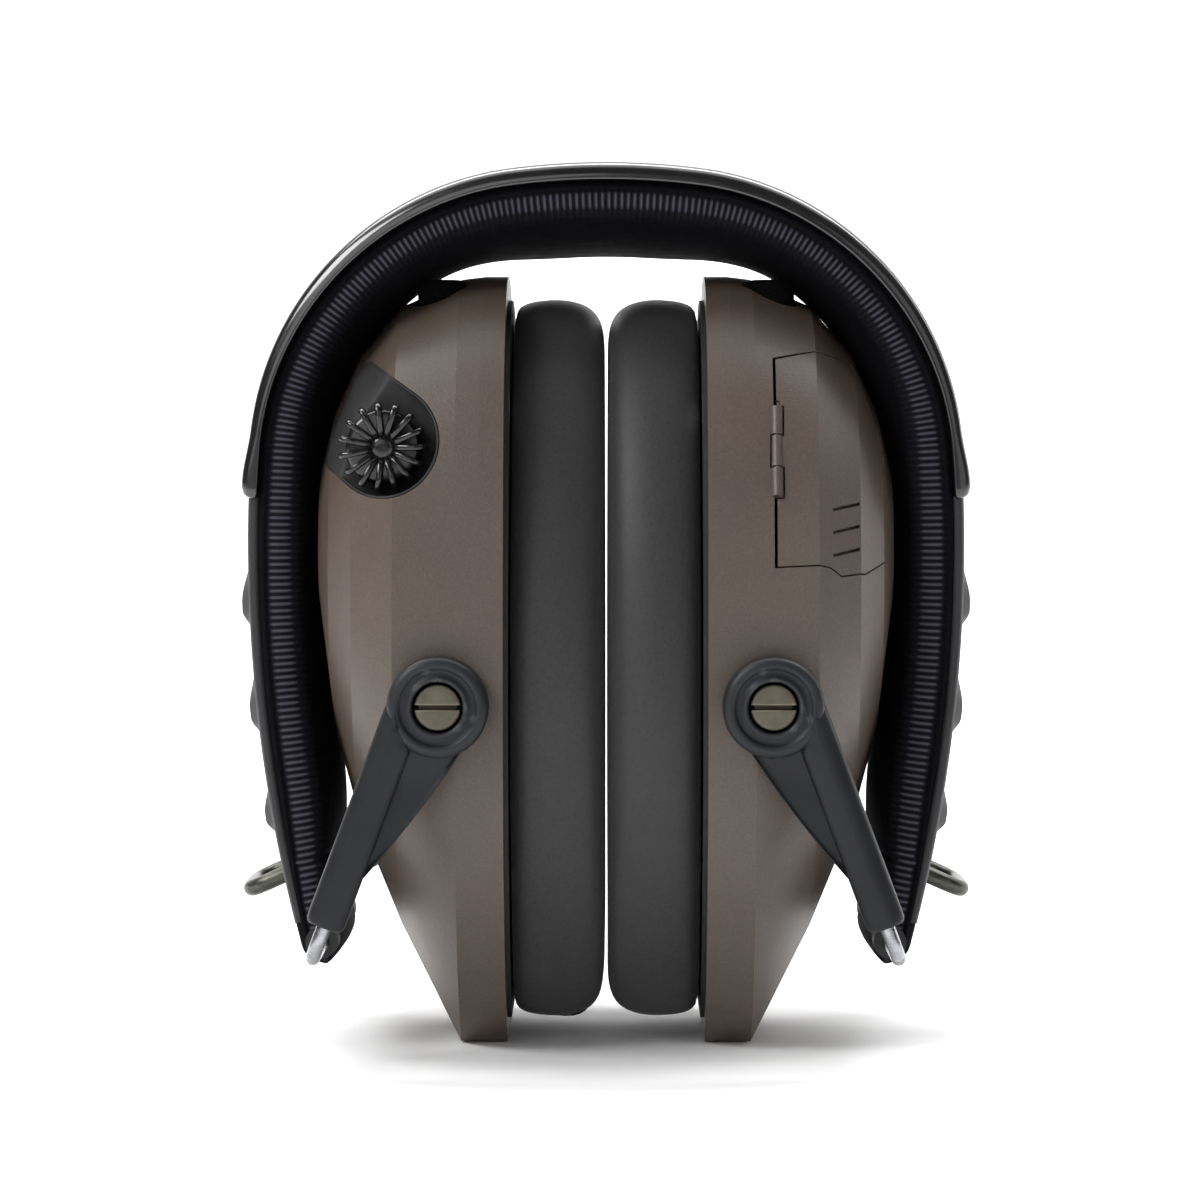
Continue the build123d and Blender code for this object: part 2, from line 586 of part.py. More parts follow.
def battery_door(shell):
    """Cut the door out of the wall and give both sides their hinge knuckles."""
    frame, height = door_frame()
    g = DOOR_GAP
    panel = door_prism(frame, height, 0.0, 0.0, DOOR_WRAP - g)
    door = one_solid(cup_loft(0.0).cut(cup_loft(WALL)).intersect(panel))
    door = one_solid(door.cut(*finger_grooves(frame)))
    shell = one_solid(shell.cut(door_prism(frame, height, -HINGE_GAP, g, DOOR_WRAP)))
    low, mid, high = height / 2 - HINGE_HALF, height / 2, height / 2 + HINGE_HALF
    inner = (mid - DOOR_KNUCKLE_HALF, mid + DOOR_KNUCKLE_HALF)
    shell = one_solid(shell.cut(local_cylinder(frame, KNUCKLE + g, inner[0] - g, inner[1] + g)))
    for start, end in ((low, inner[0] - g), (inner[1] + g, high)):
        door = one_solid(door.cut(local_cylinder(frame, KNUCKLE + g, start - g, end + g)))
        shell = one_solid(shell.fuse(local_cylinder(frame, KNUCKLE, start, end)))
    door = one_solid(door.fuse(local_cylinder(frame, KNUCKLE, *inner)))
    bore = local_cylinder(frame, HINGE_PIN, low - 1, high + 1)
    loose = local_cylinder(frame, HINGE_PIN + RUNNING_GAP, low - 1, high + 1)
    pin = local_cylinder(frame, HINGE_PIN, low, high)
    return one_solid(shell.cut(bore)), one_solid(door.cut(loose)), pin


def battery_parts():
    x0, y0, z0 = TRAY_LOW
    x1, y1, z1 = TRAY_HIGH
    side_wall, rear_wall, end_wall = TRAY_WALLS
    space = box_between((x0 - 1, y0 - 1, z0 + end_wall), (x1 - side_wall, y1 - rear_wall, z1 - end_wall))
    tray = box_between(TRAY_LOW, TRAY_HIGH).cut(space)
    low = z0 + end_wall + CONTACT_THICKNESS
    top = low + CELL_LENGTH
    cells = [cylinder_z(CELL_RADIUS, CELL_X, y, low, top) for y in CELL_YS]
    contacts = [box_between((24.5, -17.0, low - CONTACT_THICKNESS), (32.5, 3.0, low)),
                box_between((24.5, -17.0, top), (32.5, 3.0, z1 - end_wall))]
    parts = {"battery_tray": one_solid(tray), "batteries": Compound(cells)}
    parts["battery_contacts"] = Compound(contacts)
    return parts


def build_parts():
    parts = headband()
    wire = yoke_wire()
    pins = pivot_pins()
    cup_parts = common_cup_parts()
    plain_shell = cup_shell()
    for side, label in ((-1, "left"), (1, "right")):
        parts[f"{label}_yoke_wire"] = mirrored(wire, side)
        parts[f"{label}_front_arm"] = mirrored(arm(-1), side)
        parts[f"{label}_rear_arm"] = mirrored(arm(1), side)
        parts[f"{label}_pivot_pins"] = mirrored(pins, side)
        for name, shape in cup_parts.items():
            parts[f"{label}_{name}"] = mirrored(shape, side)
    parts["left_cup_shell"] = mirrored(knob_socket(plain_shell), -1)
    parts["volume_knob"] = mirrored(volume_knob(), -1)
    for name, shape in control_parts().items():
        parts[name] = mirrored(shape, -1)
    shell, door, pin = battery_door(plain_shell)
    parts["right_cup_shell"] = shell
    parts["battery_door"] = door
    parts["door_hinge_pin"] = pin
    parts.update(battery_parts())
    return parts


def main():
    os.makedirs("parts", exist_ok=True)
    for name, shape in build_parts().items():
        export_step(shape, os.path.join("parts", name + ".step"))


main()
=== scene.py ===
import json
import math

import bmesh
import bpy
import numpy as np
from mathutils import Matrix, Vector


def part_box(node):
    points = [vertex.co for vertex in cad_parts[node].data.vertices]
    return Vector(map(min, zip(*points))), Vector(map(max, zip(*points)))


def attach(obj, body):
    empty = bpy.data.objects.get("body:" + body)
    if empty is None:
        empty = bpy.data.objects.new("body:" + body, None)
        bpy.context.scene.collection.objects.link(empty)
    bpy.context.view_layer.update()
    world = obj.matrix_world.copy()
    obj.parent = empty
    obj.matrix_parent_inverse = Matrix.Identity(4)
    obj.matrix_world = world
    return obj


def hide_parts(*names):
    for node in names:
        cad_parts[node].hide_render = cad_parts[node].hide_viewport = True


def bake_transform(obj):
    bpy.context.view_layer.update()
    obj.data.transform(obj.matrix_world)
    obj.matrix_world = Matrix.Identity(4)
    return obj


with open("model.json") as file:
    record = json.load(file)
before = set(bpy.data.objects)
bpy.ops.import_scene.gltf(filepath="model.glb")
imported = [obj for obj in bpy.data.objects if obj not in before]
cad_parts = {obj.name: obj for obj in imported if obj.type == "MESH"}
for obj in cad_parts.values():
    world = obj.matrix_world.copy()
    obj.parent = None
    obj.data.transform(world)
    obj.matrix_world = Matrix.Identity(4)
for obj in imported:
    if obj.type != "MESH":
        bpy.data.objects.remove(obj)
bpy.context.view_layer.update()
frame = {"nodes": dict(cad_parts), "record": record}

# A folded earmuff. Lengths in the tables below are millimetres and are scaled by MM when a
# mesh is made. X runs from the left cup to the right one, -Y is the front, Z is up.
MM = 0.001
NODES = frame["nodes"]

# ---- the headband's outer line: three arcs from the top of the crown to each end -----------
BAND_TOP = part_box("crown_cover")[1].z / MM
CROWN_RADIUS = 104.9
SHOULDER_RADIUS = 42.1
SIDE_RADIUS = 219.4
CROWN_ANGLE = 7.3
SHOULDER_ANGLE = 86.3
SIDE_ANGLE = 104.1
COVER_END_ANGLE = 88.0

BARREL_LOW, BARREL_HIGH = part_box("right_hinge_barrel")
BARREL_X = (BARREL_LOW.x + BARREL_HIGH.x) / 2 / MM
BARREL_Z = (BARREL_LOW.z + BARREL_HIGH.z) / 2 / MM
END_FOLD_RADIUS = 3.1

SIDES = ((-1, "left"), (1, "right"))


# ---- mesh helpers --------------------------------------------------------------------------
def new_object(name, points, faces):
    mesh = bpy.data.meshes.new(name)
    mesh.from_pydata([tuple(p) for p in points], [], faces)
    mesh.validate()
    mesh.polygons.foreach_set("use_smooth", [True] * len(mesh.polygons))
    piece = bpy.data.objects.new(name, mesh)
    bpy.context.scene.collection.objects.link(piece)
    return piece


def outward(piece):
    bm = bmesh.new()
    bm.from_mesh(piece.data)
    bmesh.ops.recalc_face_normals(bm, faces=bm.faces)
    bm.to_mesh(piece.data)
    bm.free()
    return piece


def grid_faces(rows, columns, closed_rows):
    """Four-cornered faces between rows of points, each row a closed loop."""
    faces = []
    for i in range(rows if closed_rows else rows - 1):
        here, below = i * columns, (i + 1) % rows * columns
        for j in range(columns):
            beside = (j + 1) % columns
            faces.append((here + j, here + beside, below + beside, below + j))
    return faces


def loft(name, rings, closed_rows=False, cap_start=True):
    """A skin over closed rings of points, in millimetres; open ends are closed with a fan."""
    rings = np.array(rings, float)
    rows, columns = rings.shape[:2]
    points = [p * MM for p in rings.reshape(-1, 3)]
    faces = grid_faces(rows, columns, closed_rows)
    if not closed_rows:
        for row in ((0, rows - 1) if cap_start else (rows - 1,)):
            centre = len(points)
            points.append(rings[row].mean(0) * MM)
            start = row * columns
            faces += [(start + j, start + (j + 1) % columns, centre) for j in range(columns)]
    return outward(new_object(name, points, faces))


def apply_modifiers(piece):
    bpy.context.view_layer.update()
    evaluated = piece.evaluated_get(bpy.context.evaluated_depsgraph_get())
    mesh = bpy.data.meshes.new_from_object(evaluated)
    old = piece.data
    piece.modifiers.clear()
    piece.data = mesh
    bpy.data.meshes.remove(old)
    return piece


def subdivide(piece):
    modifier = piece.modifiers.new("subdivide", "SUBSURF")
    modifier.levels = 1
    modifier.render_levels = 1
    return apply_modifiers(piece)


def finish_piece(piece, material, body=None, replaces=()):
    piece.data.materials.clear()
    piece.data.materials.append(material)
    if body:
        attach(piece, body)
    if replaces:
        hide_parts(*replaces)
    return piece


def hermite(p0, t0, p1, t1, count):
    """Points of a curve between p0 and p1 with those tangents, without its last point."""
    p0, t0, p1, t1 = (np.array(v, float) for v in (p0, t0, p1, t1))
    chord = np.linalg.norm(p1 - p0)
    t0 = t0 / np.linalg.norm(t0) * chord
    t1 = t1 / np.linalg.norm(t1) * chord
    points = []
    for i in range(count):
        t = i / count
        points.append((2 * t**3 - 3 * t**2 + 1) * p0 + (t**3 - 2 * t**2 + t) * t0
                      + (3 * t**2 - 2 * t**3) * p1 + (t**3 - t**2) * t1)
    return points


def smoothstep(value, low, high):
    t = min(max((value - low) / (high - low), 0.0), 1.0)
    return t * t * (3 - 2 * t)


# ---- materials -----------------------------------------------------------------------------
def srgb(hex_colour):
    values = [int(hex_colour[i:i + 2], 16) / 255 for i in (0, 2, 4)]
    return [v / 12.92 if v <= 0.04045 else ((v + 0.055) / 1.055) ** 2.4 for v in values] + [1.0]


class Surface:
    """A Principled material with a few node helpers. Scales are per metre, in object space."""

    def __init__(self, name, roughness=0.5, metallic=0.0, **sockets):
        self.material = bpy.data.materials.new(name)
        self.material.use_nodes = True
        self.tree = self.material.node_tree
        self.shader = next(n for n in self.tree.nodes if n.type == "BSDF_PRINCIPLED")
        self.shader.inputs["Roughness"].default_value = roughness
        self.shader.inputs["Metallic"].default_value = metallic
        for socket, value in sockets.items():
            self.shader.inputs[socket.replace("_", " ")].default_value = value
        self.coordinates = self.node("ShaderNodeTexCoord").outputs["Object"]
        self.height = None

    def node(self, kind, **values):
        node = self.tree.nodes.new(kind)
        for key, value in values.items():
            setattr(node, key, value)
        return node

    def link(self, output, socket):
        self.tree.links.new(output, socket)

    def stretched(self, scale):
        mapping = self.node("ShaderNodeMapping")
        mapping.inputs["Scale"].default_value = scale
        self.link(self.coordinates, mapping.inputs["Vector"])
        return mapping.outputs["Vector"]

    def noise(self, scale, detail=3.0, roughness=0.55, vector=None):
        node = self.node("ShaderNodeTexNoise")
        node.inputs["Scale"].default_value = scale
        node.inputs["Detail"].default_value = detail
        node.inputs["Roughness"].default_value = roughness
        self.link(vector or self.coordinates, node.inputs["Vector"])
        return node.outputs["Fac"]

    def cells(self, scale):
        node = self.node("ShaderNodeTexVoronoi")
        node.inputs["Scale"].default_value = scale
        self.link(self.coordinates, node.inputs["Vector"])
        return node.outputs["Distance"]

    def attribute(self, name):
        return self.node("ShaderNodeAttribute", attribute_name=name).outputs["Fac"]

    def ramp(self, value, stops):
        node = self.node("ShaderNodeValToRGB")
        elements = node.color_ramp.elements
        while len(elements) < len(stops):
            elements.new(0.5)
        for element, (position, colour) in zip(elements, stops):
            element.position = position
            element.color = colour
        self.link(value, node.inputs["Fac"])
        return node.outputs["Color"]

    def span(self, value, low, high, from_low=0.0, from_high=1.0):
        node = self.node("ShaderNodeMapRange")
        node.inputs["From Min"].default_value = from_low
        node.inputs["From Max"].default_value = from_high
        node.inputs["To Min"].default_value = low
        node.inputs["To Max"].default_value = high
        self.link(value, node.inputs["Value"])
        return node.outputs["Result"]

    def mix(self, factor, first, second):
        node = self.node("ShaderNodeMix", data_type="RGBA")
        sockets = (node.inputs[0], node.inputs[6], node.inputs[7])
        for socket, value in zip(sockets, (factor, first, second)):
            if hasattr(value, "links"):
                self.link(value, socket)
            else:
                socket.default_value = value
        return node.outputs[2]

    def colour(self, output):
        self.link(output, self.shader.inputs["Base Color"])

    def roughness(self, output):
        self.link(output, self.shader.inputs["Roughness"])

    def bump(self, height, distance, strength=1.0):
        """Adds a layer of relief; distance is in millimetres."""
        node = self.node("ShaderNodeBump")
        node.inputs["Distance"].default_value = distance * MM
        node.inputs["Strength"].default_value = strength
        self.link(height, node.inputs["Height"])
        if self.height is not None:
            self.link(self.height, node.inputs["Normal"])
        self.height = node.outputs["Normal"]
        self.link(self.height, self.shader.inputs["Normal"])


def worn(surface, amount):
    """How far each place is rubbed lighter, from 0 to amount, most on sharp outer corners."""
    pointiness = surface.node("ShaderNodeNewGeometry").outputs["Pointiness"]
    return surface.span(pointiness, 0.0, amount, 0.52, 0.60)


def make_cup_plastic():
    s = Surface("cup_plastic", roughness=0.46, Specular_IOR_Level=0.45)
    base = s.ramp(s.noise(45, 4.0), ((0.3, srgb("443a34")), (0.7, srgb("4d423a"))))
    speck = s.ramp(s.noise(2600, 2.0), ((0.35, srgb("403730")), (0.75, srgb("5e5149"))))
    s.colour(s.mix(0.3, base, speck))
    s.roughness(s.span(s.noise(90, 3.0), 0.38, 0.5))
    s.bump(s.cells(3300), 0.02)
    s.bump(s.noise(5200, 2.0), 0.012)
    return s.material


def make_leather():
    s = Surface("cushion_leather", roughness=0.5, Specular_IOR_Level=0.3, Sheen_Weight=0.08,
                Sheen_Roughness=0.5)
    base = s.ramp(s.noise(38, 4.0), ((0.3, srgb("222223")), (0.7, srgb("282829"))))
    pores = s.ramp(s.cells(1500), ((0.05, srgb("1f1f20")), (0.5, srgb("303031"))))
    s.colour(s.mix(0.4, base, pores))
    s.roughness(s.span(s.noise(160, 3.0), 0.44, 0.60))
    s.bump(s.cells(1350), 0.035, 0.6)
    s.bump(s.noise(420, 4.0), 0.05, 0.5)
    return s.material


def make_cover():
    s = Surface("band_cover", roughness=0.22, Specular_IOR_Level=0.5, Coat_Weight=0.6,
                Coat_Roughness=0.08)
    s.colour(s.ramp(s.noise(70, 3.0), ((0.3, srgb("0b0b0c")), (0.75, srgb("141416")))))
    s.roughness(s.span(s.noise(240, 4.0), 0.16, 0.32))
    s.bump(s.noise(900, 2.0), 0.01, 0.4)
    return s.material


def make_knit():
    s = Surface("band_knit", roughness=0.85, Specular_IOR_Level=0.06)
    rib = s.attribute("rib")
    # The rib attribute lightens the ribbed strip against the pad, with a painted highlight on each rib's
    # crest and painted shade in its groove.
    rib_colour_and_shade = s.ramp(rib, ((0.0, srgb("060508")), (0.5, srgb("18171c")), (1.0, srgb("4b4a53"))))
    thread = s.ramp(s.noise(2400, 2.0), ((0.3, srgb("050506")), (0.8, srgb("19181d"))))
    s.colour(s.mix(0.25, rib_colour_and_shade, thread))
    s.roughness(s.span(s.noise(600, 2.0), 0.75, 0.95))
    s.bump(s.noise(3600, 2.0), 0.05, 0.7)
    s.bump(s.cells(2300), 0.05, 0.6)
    return s.material


def make_rubber():
    s = Surface("grip_rubber", roughness=0.55, Specular_IOR_Level=0.4)
    s.colour(s.ramp(s.noise(120, 4.0), ((0.3, srgb("161618")), (0.75, srgb("212124")))))
    s.roughness(s.span(s.noise(300, 3.0), 0.45, 0.68))
    s.bump(s.noise(2600, 3.0), 0.02, 0.7)
    return s.material


def make_foam(name, dark, light, scale, depth):
    s = Surface(name, roughness=0.95, Specular_IOR_Level=0.06)
    pores = s.cells(scale)
    s.colour(s.ramp(pores, ((0.05, dark), (0.55, light))))
    s.bump(pores, depth, 0.9)
    s.bump(s.noise(scale * 0.4, 4.0), depth * 1.5, 0.6)
    return s.material


def make_arm_plastic():
    s = Surface("arm_plastic", roughness=0.42, Specular_IOR_Level=0.24)
    base = s.ramp(s.noise(80, 4.0), ((0.3, srgb("131416")), (0.7, srgb("1a1b1e"))))
    s.colour(s.mix(worn(s, 0.5), base, srgb("424448")))
    s.roughness(s.span(s.noise(220, 4.0), 0.34, 0.52))
    s.bump(s.noise(2800, 3.0), 0.018, 0.7)
    return s.material


def make_metal(name, dark, light, roughness, grain=(60, 900, 900)):
    s = Surface(name, roughness=roughness, metallic=1.0)
    drawn = s.noise(1.0, 4.0, vector=s.stretched(grain))
    s.colour(s.ramp(drawn, ((0.3, dark), (0.7, light))))
    s.roughness(s.span(drawn, roughness - 0.07, roughness + 0.1))
    s.bump(drawn, 0.01, 0.5)
    return s.material


def make_pin():
    s = Surface("pin_paint", roughness=0.42, metallic=0.15)
    base = s.ramp(s.noise(400, 4.0), ((0.3, srgb("413b30")), (0.7, srgb("544e40"))))
    s.colour(s.mix(worn(s, 0.5), base, srgb("857e6e")))
    s.roughness(s.span(s.noise(900, 3.0), 0.33, 0.52))
    s.bump(s.noise(3000, 2.0), 0.012, 0.6)
    return s.material


def make_gloss_black():
    s = Surface("knob_plastic", roughness=0.28, Specular_IOR_Level=0.5)
    s.colour(s.ramp(s.noise(300, 3.0), ((0.3, srgb("080809")), (0.8, srgb("121214")))))
    s.roughness(s.span(s.noise(700, 3.0), 0.14, 0.28))
    s.bump(s.noise(3000, 2.0), 0.008, 0.5)
    return s.material


def make_matte_black():
    s = Surface("matte_black", roughness=0.7)
    s.colour(s.ramp(s.noise(200, 3.0), ((0.3, srgb("121213")), (0.8, srgb("1c1c1e")))))
    s.roughness(s.span(s.noise(500, 3.0), 0.6, 0.8))
    s.bump(s.noise(3400, 2.0), 0.02, 0.6)
    return s.material


def make_board():
    s = Surface("board", roughness=0.35, Coat_Weight=0.3)
    tracks = s.node("ShaderNodeTexBrick")
    tracks.inputs["Scale"].default_value = 260
    tracks.inputs["Color1"].default_value = srgb("12512f")
    tracks.inputs["Color2"].default_value = srgb("1a6a3d")
    tracks.inputs["Mortar"].default_value = srgb("0c3c22")
    s.link(s.coordinates, tracks.inputs["Vector"])
    s.colour(tracks.outputs["Color"])
    s.roughness(s.span(s.noise(400), 0.28, 0.45))
    s.bump(tracks.outputs["Fac"], 0.04, 0.5)
    return s.material


def make_cell_jacket():
    """Black below and copper above."""
    s = Surface("cell_jacket", roughness=0.3, metallic=0.6)
    place = s.node("ShaderNodeSeparateXYZ")
    s.link(s.coordinates, place.inputs["Vector"])
    low, high = (corner.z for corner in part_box("batteries"))
    along = s.span(place.outputs["Z"], 0.0, 1.0, low, high)
    black_end, copper_start = 0.7, 0.74
    s.colour(s.ramp(along, ((0.0, srgb("1d1d1f")), (black_end, srgb("202022")),
                            (copper_start, srgb("b4823a")), (1.0, srgb("c08d42")))))
    s.roughness(s.span(s.noise(500), 0.22, 0.4))
    s.bump(s.noise(2500), 0.006, 0.4)
    return s.material


MATERIALS = {
    "cup_plastic": make_cup_plastic(),
    "cushion_leather": make_leather(),
    "band_cover": make_cover(),
    "band_fabric": make_knit(),
    "grip_rubber": make_rubber(),
    "inner_foam": make_foam("inner_foam", srgb("26262a"), srgb("4a4a4f"), 1500, 0.12),
    "microphone_foam": make_foam("microphone_foam", srgb("010101"), srgb("070708"), 2600, 0.14),
    "spring_steel": make_metal("spring_steel", srgb("383834"), srgb("5a5a54"), 0.36),
    "wire_steel": make_metal("wire_steel", srgb("808184"), srgb("a9aaad"), 0.26),
    "arm_plastic": make_arm_plastic(),
    "pin_metal": make_pin(),
    "knob_plastic": make_gloss_black(),
    "black_plastic": make_matte_black(),
    "board": make_board(),
    "cell_jacket": make_cell_jacket(),
    "contact_metal": make_metal("contact_metal", srgb("b99a55"), srgb("d8bd7c"), 0.3),
    "screw_steel": make_metal("screw_steel", srgb("9a9a9c"), srgb("c6c6c9"), 0.3, (700, 700, 700)),
}


def dress_cad_nodes():
    """Gives each CAD node the procedural material of its slot."""
    for subpart in frame["record"]["subparts"]:
        node = NODES[subpart["node"]]
        node.data.materials.clear()
        node.data.materials.append(MATERIALS[subpart["material_slot"]])


# ---- the headband --------------------------------------------------------------------------
def band_arcs():
    """(centre, radius, start angle, distance to its start, length) of each arc of the band."""
    centre = np.array((0.0, BAND_TOP - CROWN_RADIUS))
    arcs = []
    previous_angle, previous_radius, travelled = 0.0, CROWN_RADIUS, 0.0
    ends = ((CROWN_RADIUS, CROWN_ANGLE), (SHOULDER_RADIUS, SHOULDER_ANGLE), (SIDE_RADIUS, SIDE_ANGLE))
    for radius, angle in ends:
        a = math.radians(previous_angle)
        centre = centre + (previous_radius - radius) * np.array((math.sin(a), math.cos(a)))
        length = radius * math.radians(angle - previous_angle)
        arcs.append((centre, radius, previous_angle, travelled, length))
        previous_angle, previous_radius, travelled = angle, radius, travelled + length
    return arcs


ARCS = band_arcs()
BAND_LENGTH = ARCS[-1][3] + ARCS[-1][4]


def band_at(s):
    """Outer point and inward normal, in X and Z, at a distance from the crown's top.

    Past the last arc the line runs straight on.
    """
    arc = next((arc for arc in ARCS if s <= arc[3] + arc[4]), ARCS[-1])
    centre, radius, start, travelled, length = arc
    over = max(0.0, s - travelled - length)
    a = math.radians(start) + (s - over - travelled) / radius
    out = np.array((math.sin(a), math.cos(a)))
    along = np.array((math.cos(a), -math.sin(a)))
    return centre + radius * out + along * over, -out


def band_distance(angle):
    """The distance from the crown's top at which the band has turned by that angle."""
    for _, radius, start, travelled, length in ARCS:
        if angle <= start + math.degrees(length / radius) + 1e-6:
            return travelled + radius * math.radians(angle - start)
    return BAND_LENGTH


COVER_END = band_distance(COVER_END_ANGLE)
EDGE_DEPTH = (8.0, 7.8)                  # of the ribbed strip's inner edge, at crown and side
MIDDLE_DEPTH = (12.6, 10.9, 9.8)         # of the pad's middle, at crown, shoulder and side
CROWN_FADE = (6.0, 32.0)                 # distances between which crown turns into shoulder
SIDE_FADE = (62.0, 88.0)                 # and shoulder into side
SLEEVE_HALF_WIDTH = 20.1
COVER_LIP = (2.7, 1.5)                   # depth of the cover's lip, at crown and side
LIP_TAPER = (25.0, 90.0)
TAPER_START = 24.0                       # how far above the barrel the sleeve starts to narrow
RIB_PITCH = 0.95
RIB_HEIGHT = 0.34
RIB_STEPS = 6                            # rows of points to a rib
STRIP_POINTS = 9                         # points across the ribbed strip
STRIP_BULGE = 0.55
# (past the half width, below the lip, rib weight) of the bead between the lip and the strip
SLEEVE_BEAD = ((-0.7, 0.5, 0.0), (-0.2, 1.3, 0.0), (0.30, 1.75, 0.0), (0.30, 2.05, 0.0), (-0.15, 2.35, 0.2))
# (past the half width, below the strip, rib weight) where the strip rolls over into the pad
SLEEVE_ROLL = ((-0.3, -0.55, 0.3), (-0.9, -0.1, 0.15), (-1.5, 0.2, 0.05), (-1.9, 0.3, 0.0), (-2.4, 0.45, 0.0))
PAD_STEPS = (1.4, 3.2, 5.6, 8.6, 12.0, 15.2)
END_FOLD_ANGLES = (15, 30, 45, 60, 72, 82, 88)
SEAM_ABOVE_END = 9.0                     # a stitched seam crosses the sleeve there
SEAM_WIDTH = 0.35
SEAM_DEPTH = 0.35


def lip_depth(s):
    """The cover's turned-down edge gets narrower towards its end."""
    return COVER_LIP[0] + (COVER_LIP[1] - COVER_LIP[0]) * smoothstep(s, *LIP_TAPER)


def sleeve_profile(s):
    """(y, depth, rib weight) around the padded sleeve at distance s."""
    crown_fade = smoothstep(s, *CROWN_FADE)
    side_fade = smoothstep(s, *SIDE_FADE)
    edge = EDGE_DEPTH[0] + (EDGE_DEPTH[1] - EDGE_DEPTH[0]) * crown_fade
    crown, shoulder, low_side = MIDDLE_DEPTH
    middle = crown + (shoulder - crown) * crown_fade + (low_side - shoulder) * side_fade
    top = lip_depth(s) - 0.95
    w = SLEEVE_HALF_WIDTH
    half = []
    for y in (0.0, 7.0, 14.0, w - 1.6):
        half.append((y, top, 0.0))
    half += [(w + out, top + below, weight) for out, below, weight in SLEEVE_BEAD]
    for i in range(STRIP_POINTS):
        t = (i + 0.5) / STRIP_POINTS
        depth = top + 2.4 + (edge - 1.0 - top - 2.4) * t
        y = w + STRIP_BULGE * math.sin(math.pi * min(1.0, t * 1.15) * 0.9)
        half.append((y, depth, smoothstep(t, -0.12, 0.18) * (1 - 0.6 * smoothstep(t, 0.72, 1.0))))
    half += [(w + out, edge + below, weight) for out, below, weight in SLEEVE_ROLL]
    inner = w + SLEEVE_ROLL[-1][0]
    for step in PAD_STEPS:
        y = inner - step
        swell = 1 - (y / inner) ** 2
        half.append((y, edge + 0.45 + (middle - edge - 0.45) * swell ** 0.85, 0.0))
    half.append((0.0, middle, 0.0))
    mirror = [(-y, d, r) for y, d, r in half[-2:0:-1]]
    return half + mirror


def end_taper(s):
    """Distance of the barrel, and limits of the sleeve's depth where it loops around it."""
    point, inward = band_at(BAND_LENGTH)
    along = np.array((-inward[1], inward[0]))
    offset = np.array((BARREL_X, BARREL_Z)) - point
    if along.dot(offset) < 0:
        along = -along
    centre_s = BAND_LENGTH + offset.dot(along)
    centre_depth = offset.dot(inward)
    r = END_FOLD_RADIUS
    if s <= centre_s:
        half = r
    else:
        half = math.sqrt(max(r * r - (s - centre_s) ** 2, 0.0))
    return centre_s, centre_depth - half, centre_depth + half


def sleeve_half(side, label):
    """One half of the padded sleeve, from the crown's top to the loop around the barrel."""
    centre_s = end_taper(0.0)[0]
    last = centre_s + END_FOLD_RADIUS
    rib_rows = int(centre_s / RIB_PITCH * RIB_STEPS)
    stations = [centre_s * i / rib_rows for i in range(rib_rows + 1)]
    stations += [centre_s + END_FOLD_RADIUS * math.sin(math.radians(a)) for a in END_FOLD_ANGLES]
    rings, rib_shade_rows = [], []
    for s in stations:
        point, inward = band_at(s)
        profile = sleeve_profile(min(s, BAND_LENGTH - 2))
        blend_end = smoothstep(s, centre_s - TAPER_START, centre_s)
        _, low, high = end_taper(s)
        wave = 0.5 - 0.5 * math.cos(2 * math.pi * s / RIB_PITCH)
        seam = math.exp(-((s - BAND_LENGTH + SEAM_ABOVE_END) / SEAM_WIDTH) ** 2)
        depths = [d for _, d, _ in profile]
        d_low, d_high = min(depths), max(depths)
        ring, rib_shades = [], []
        for y, depth, weight in profile:
            squeezed = low + (high - low) * (depth - d_low) / (d_high - d_low)
            depth = depth * (1 - blend_end) + squeezed * blend_end
            fade = 1.0 - smoothstep(s, centre_s - 1.0, last)
            lift = RIB_HEIGHT * wave * weight * fade
            y = y + math.copysign(lift, y) * (1 if abs(y) > SLEEVE_HALF_WIDTH - 2 else 0)
            depth += 0.3 * lift - SEAM_DEPTH * seam * (depth > d_low + 2)
            place = point + inward * depth
            ring.append((side * place[0], y, place[1]))
            # Rib weight lightens the strip; the wave term paints each rib's crest lighter and its groove
            # darker, as painted highlight and shade.
            rib_shades.append(weight * (0.25 + 0.75 * wave))
        rings.append(ring)
        rib_shade_rows.append(rib_shades)
    piece = loft(f"{label}_sleeve_cover", rings, cap_start=False)
    attribute = piece.data.attributes.new("rib", "FLOAT", "POINT")
    values = np.zeros(len(piece.data.vertices), np.float32)
    flat = np.array(rib_shade_rows, np.float32).ravel()
    values[:flat.size] = flat
    attribute.data.foreach_set("value", values)
    return piece


COVER_ROWS = 90
COVER_HALF_WIDTH = 21.4
COVER_THICKNESS = 1.5
COVER_LIP_WIDTH = 1.2
COVER_BULGE = 0.35
COVER_FLARE = 0.75                       # how far the cover swells outwards at its end
COVER_ROUND_OFF = ((0.35, 0.25), (0.6, 0.8))    # (past the end, how far its section closes)


def rounded_channel(lip):
    """(y, depth) around the cover's section, with rounded edges."""
    w, thickness, bulge = COVER_HALF_WIDTH, COVER_THICKNESS, COVER_BULGE
    low = lip
    r = low - 0.35
    inner = w - COVER_LIP_WIDTH
    half = [(0.0, -bulge), (w * 0.35, -bulge * 0.9), (w * 0.7, -bulge * 0.45), (w - r - 0.6, 0.0)]
    for a in (12, 24, 36, 48, 60, 72, 84, 90):
        t = math.radians(a)
        half.append((w - r + r * math.sin(t), r - r * math.cos(t)))
    half += [(w - 0.02, low - 0.22), (w - 0.1, low - 0.08), (w - 0.3, low)]
    half += [(inner + 0.2, low), (inner, low - 0.12), (inner, min(thickness, low - 0.2)),
             (inner - 0.5, min(thickness, low - 0.2)), (w * 0.5, thickness - 0.2), (0.0, thickness - 0.2)]
    return half + [(-y, d) for y, d in half[-2:0:-1]]


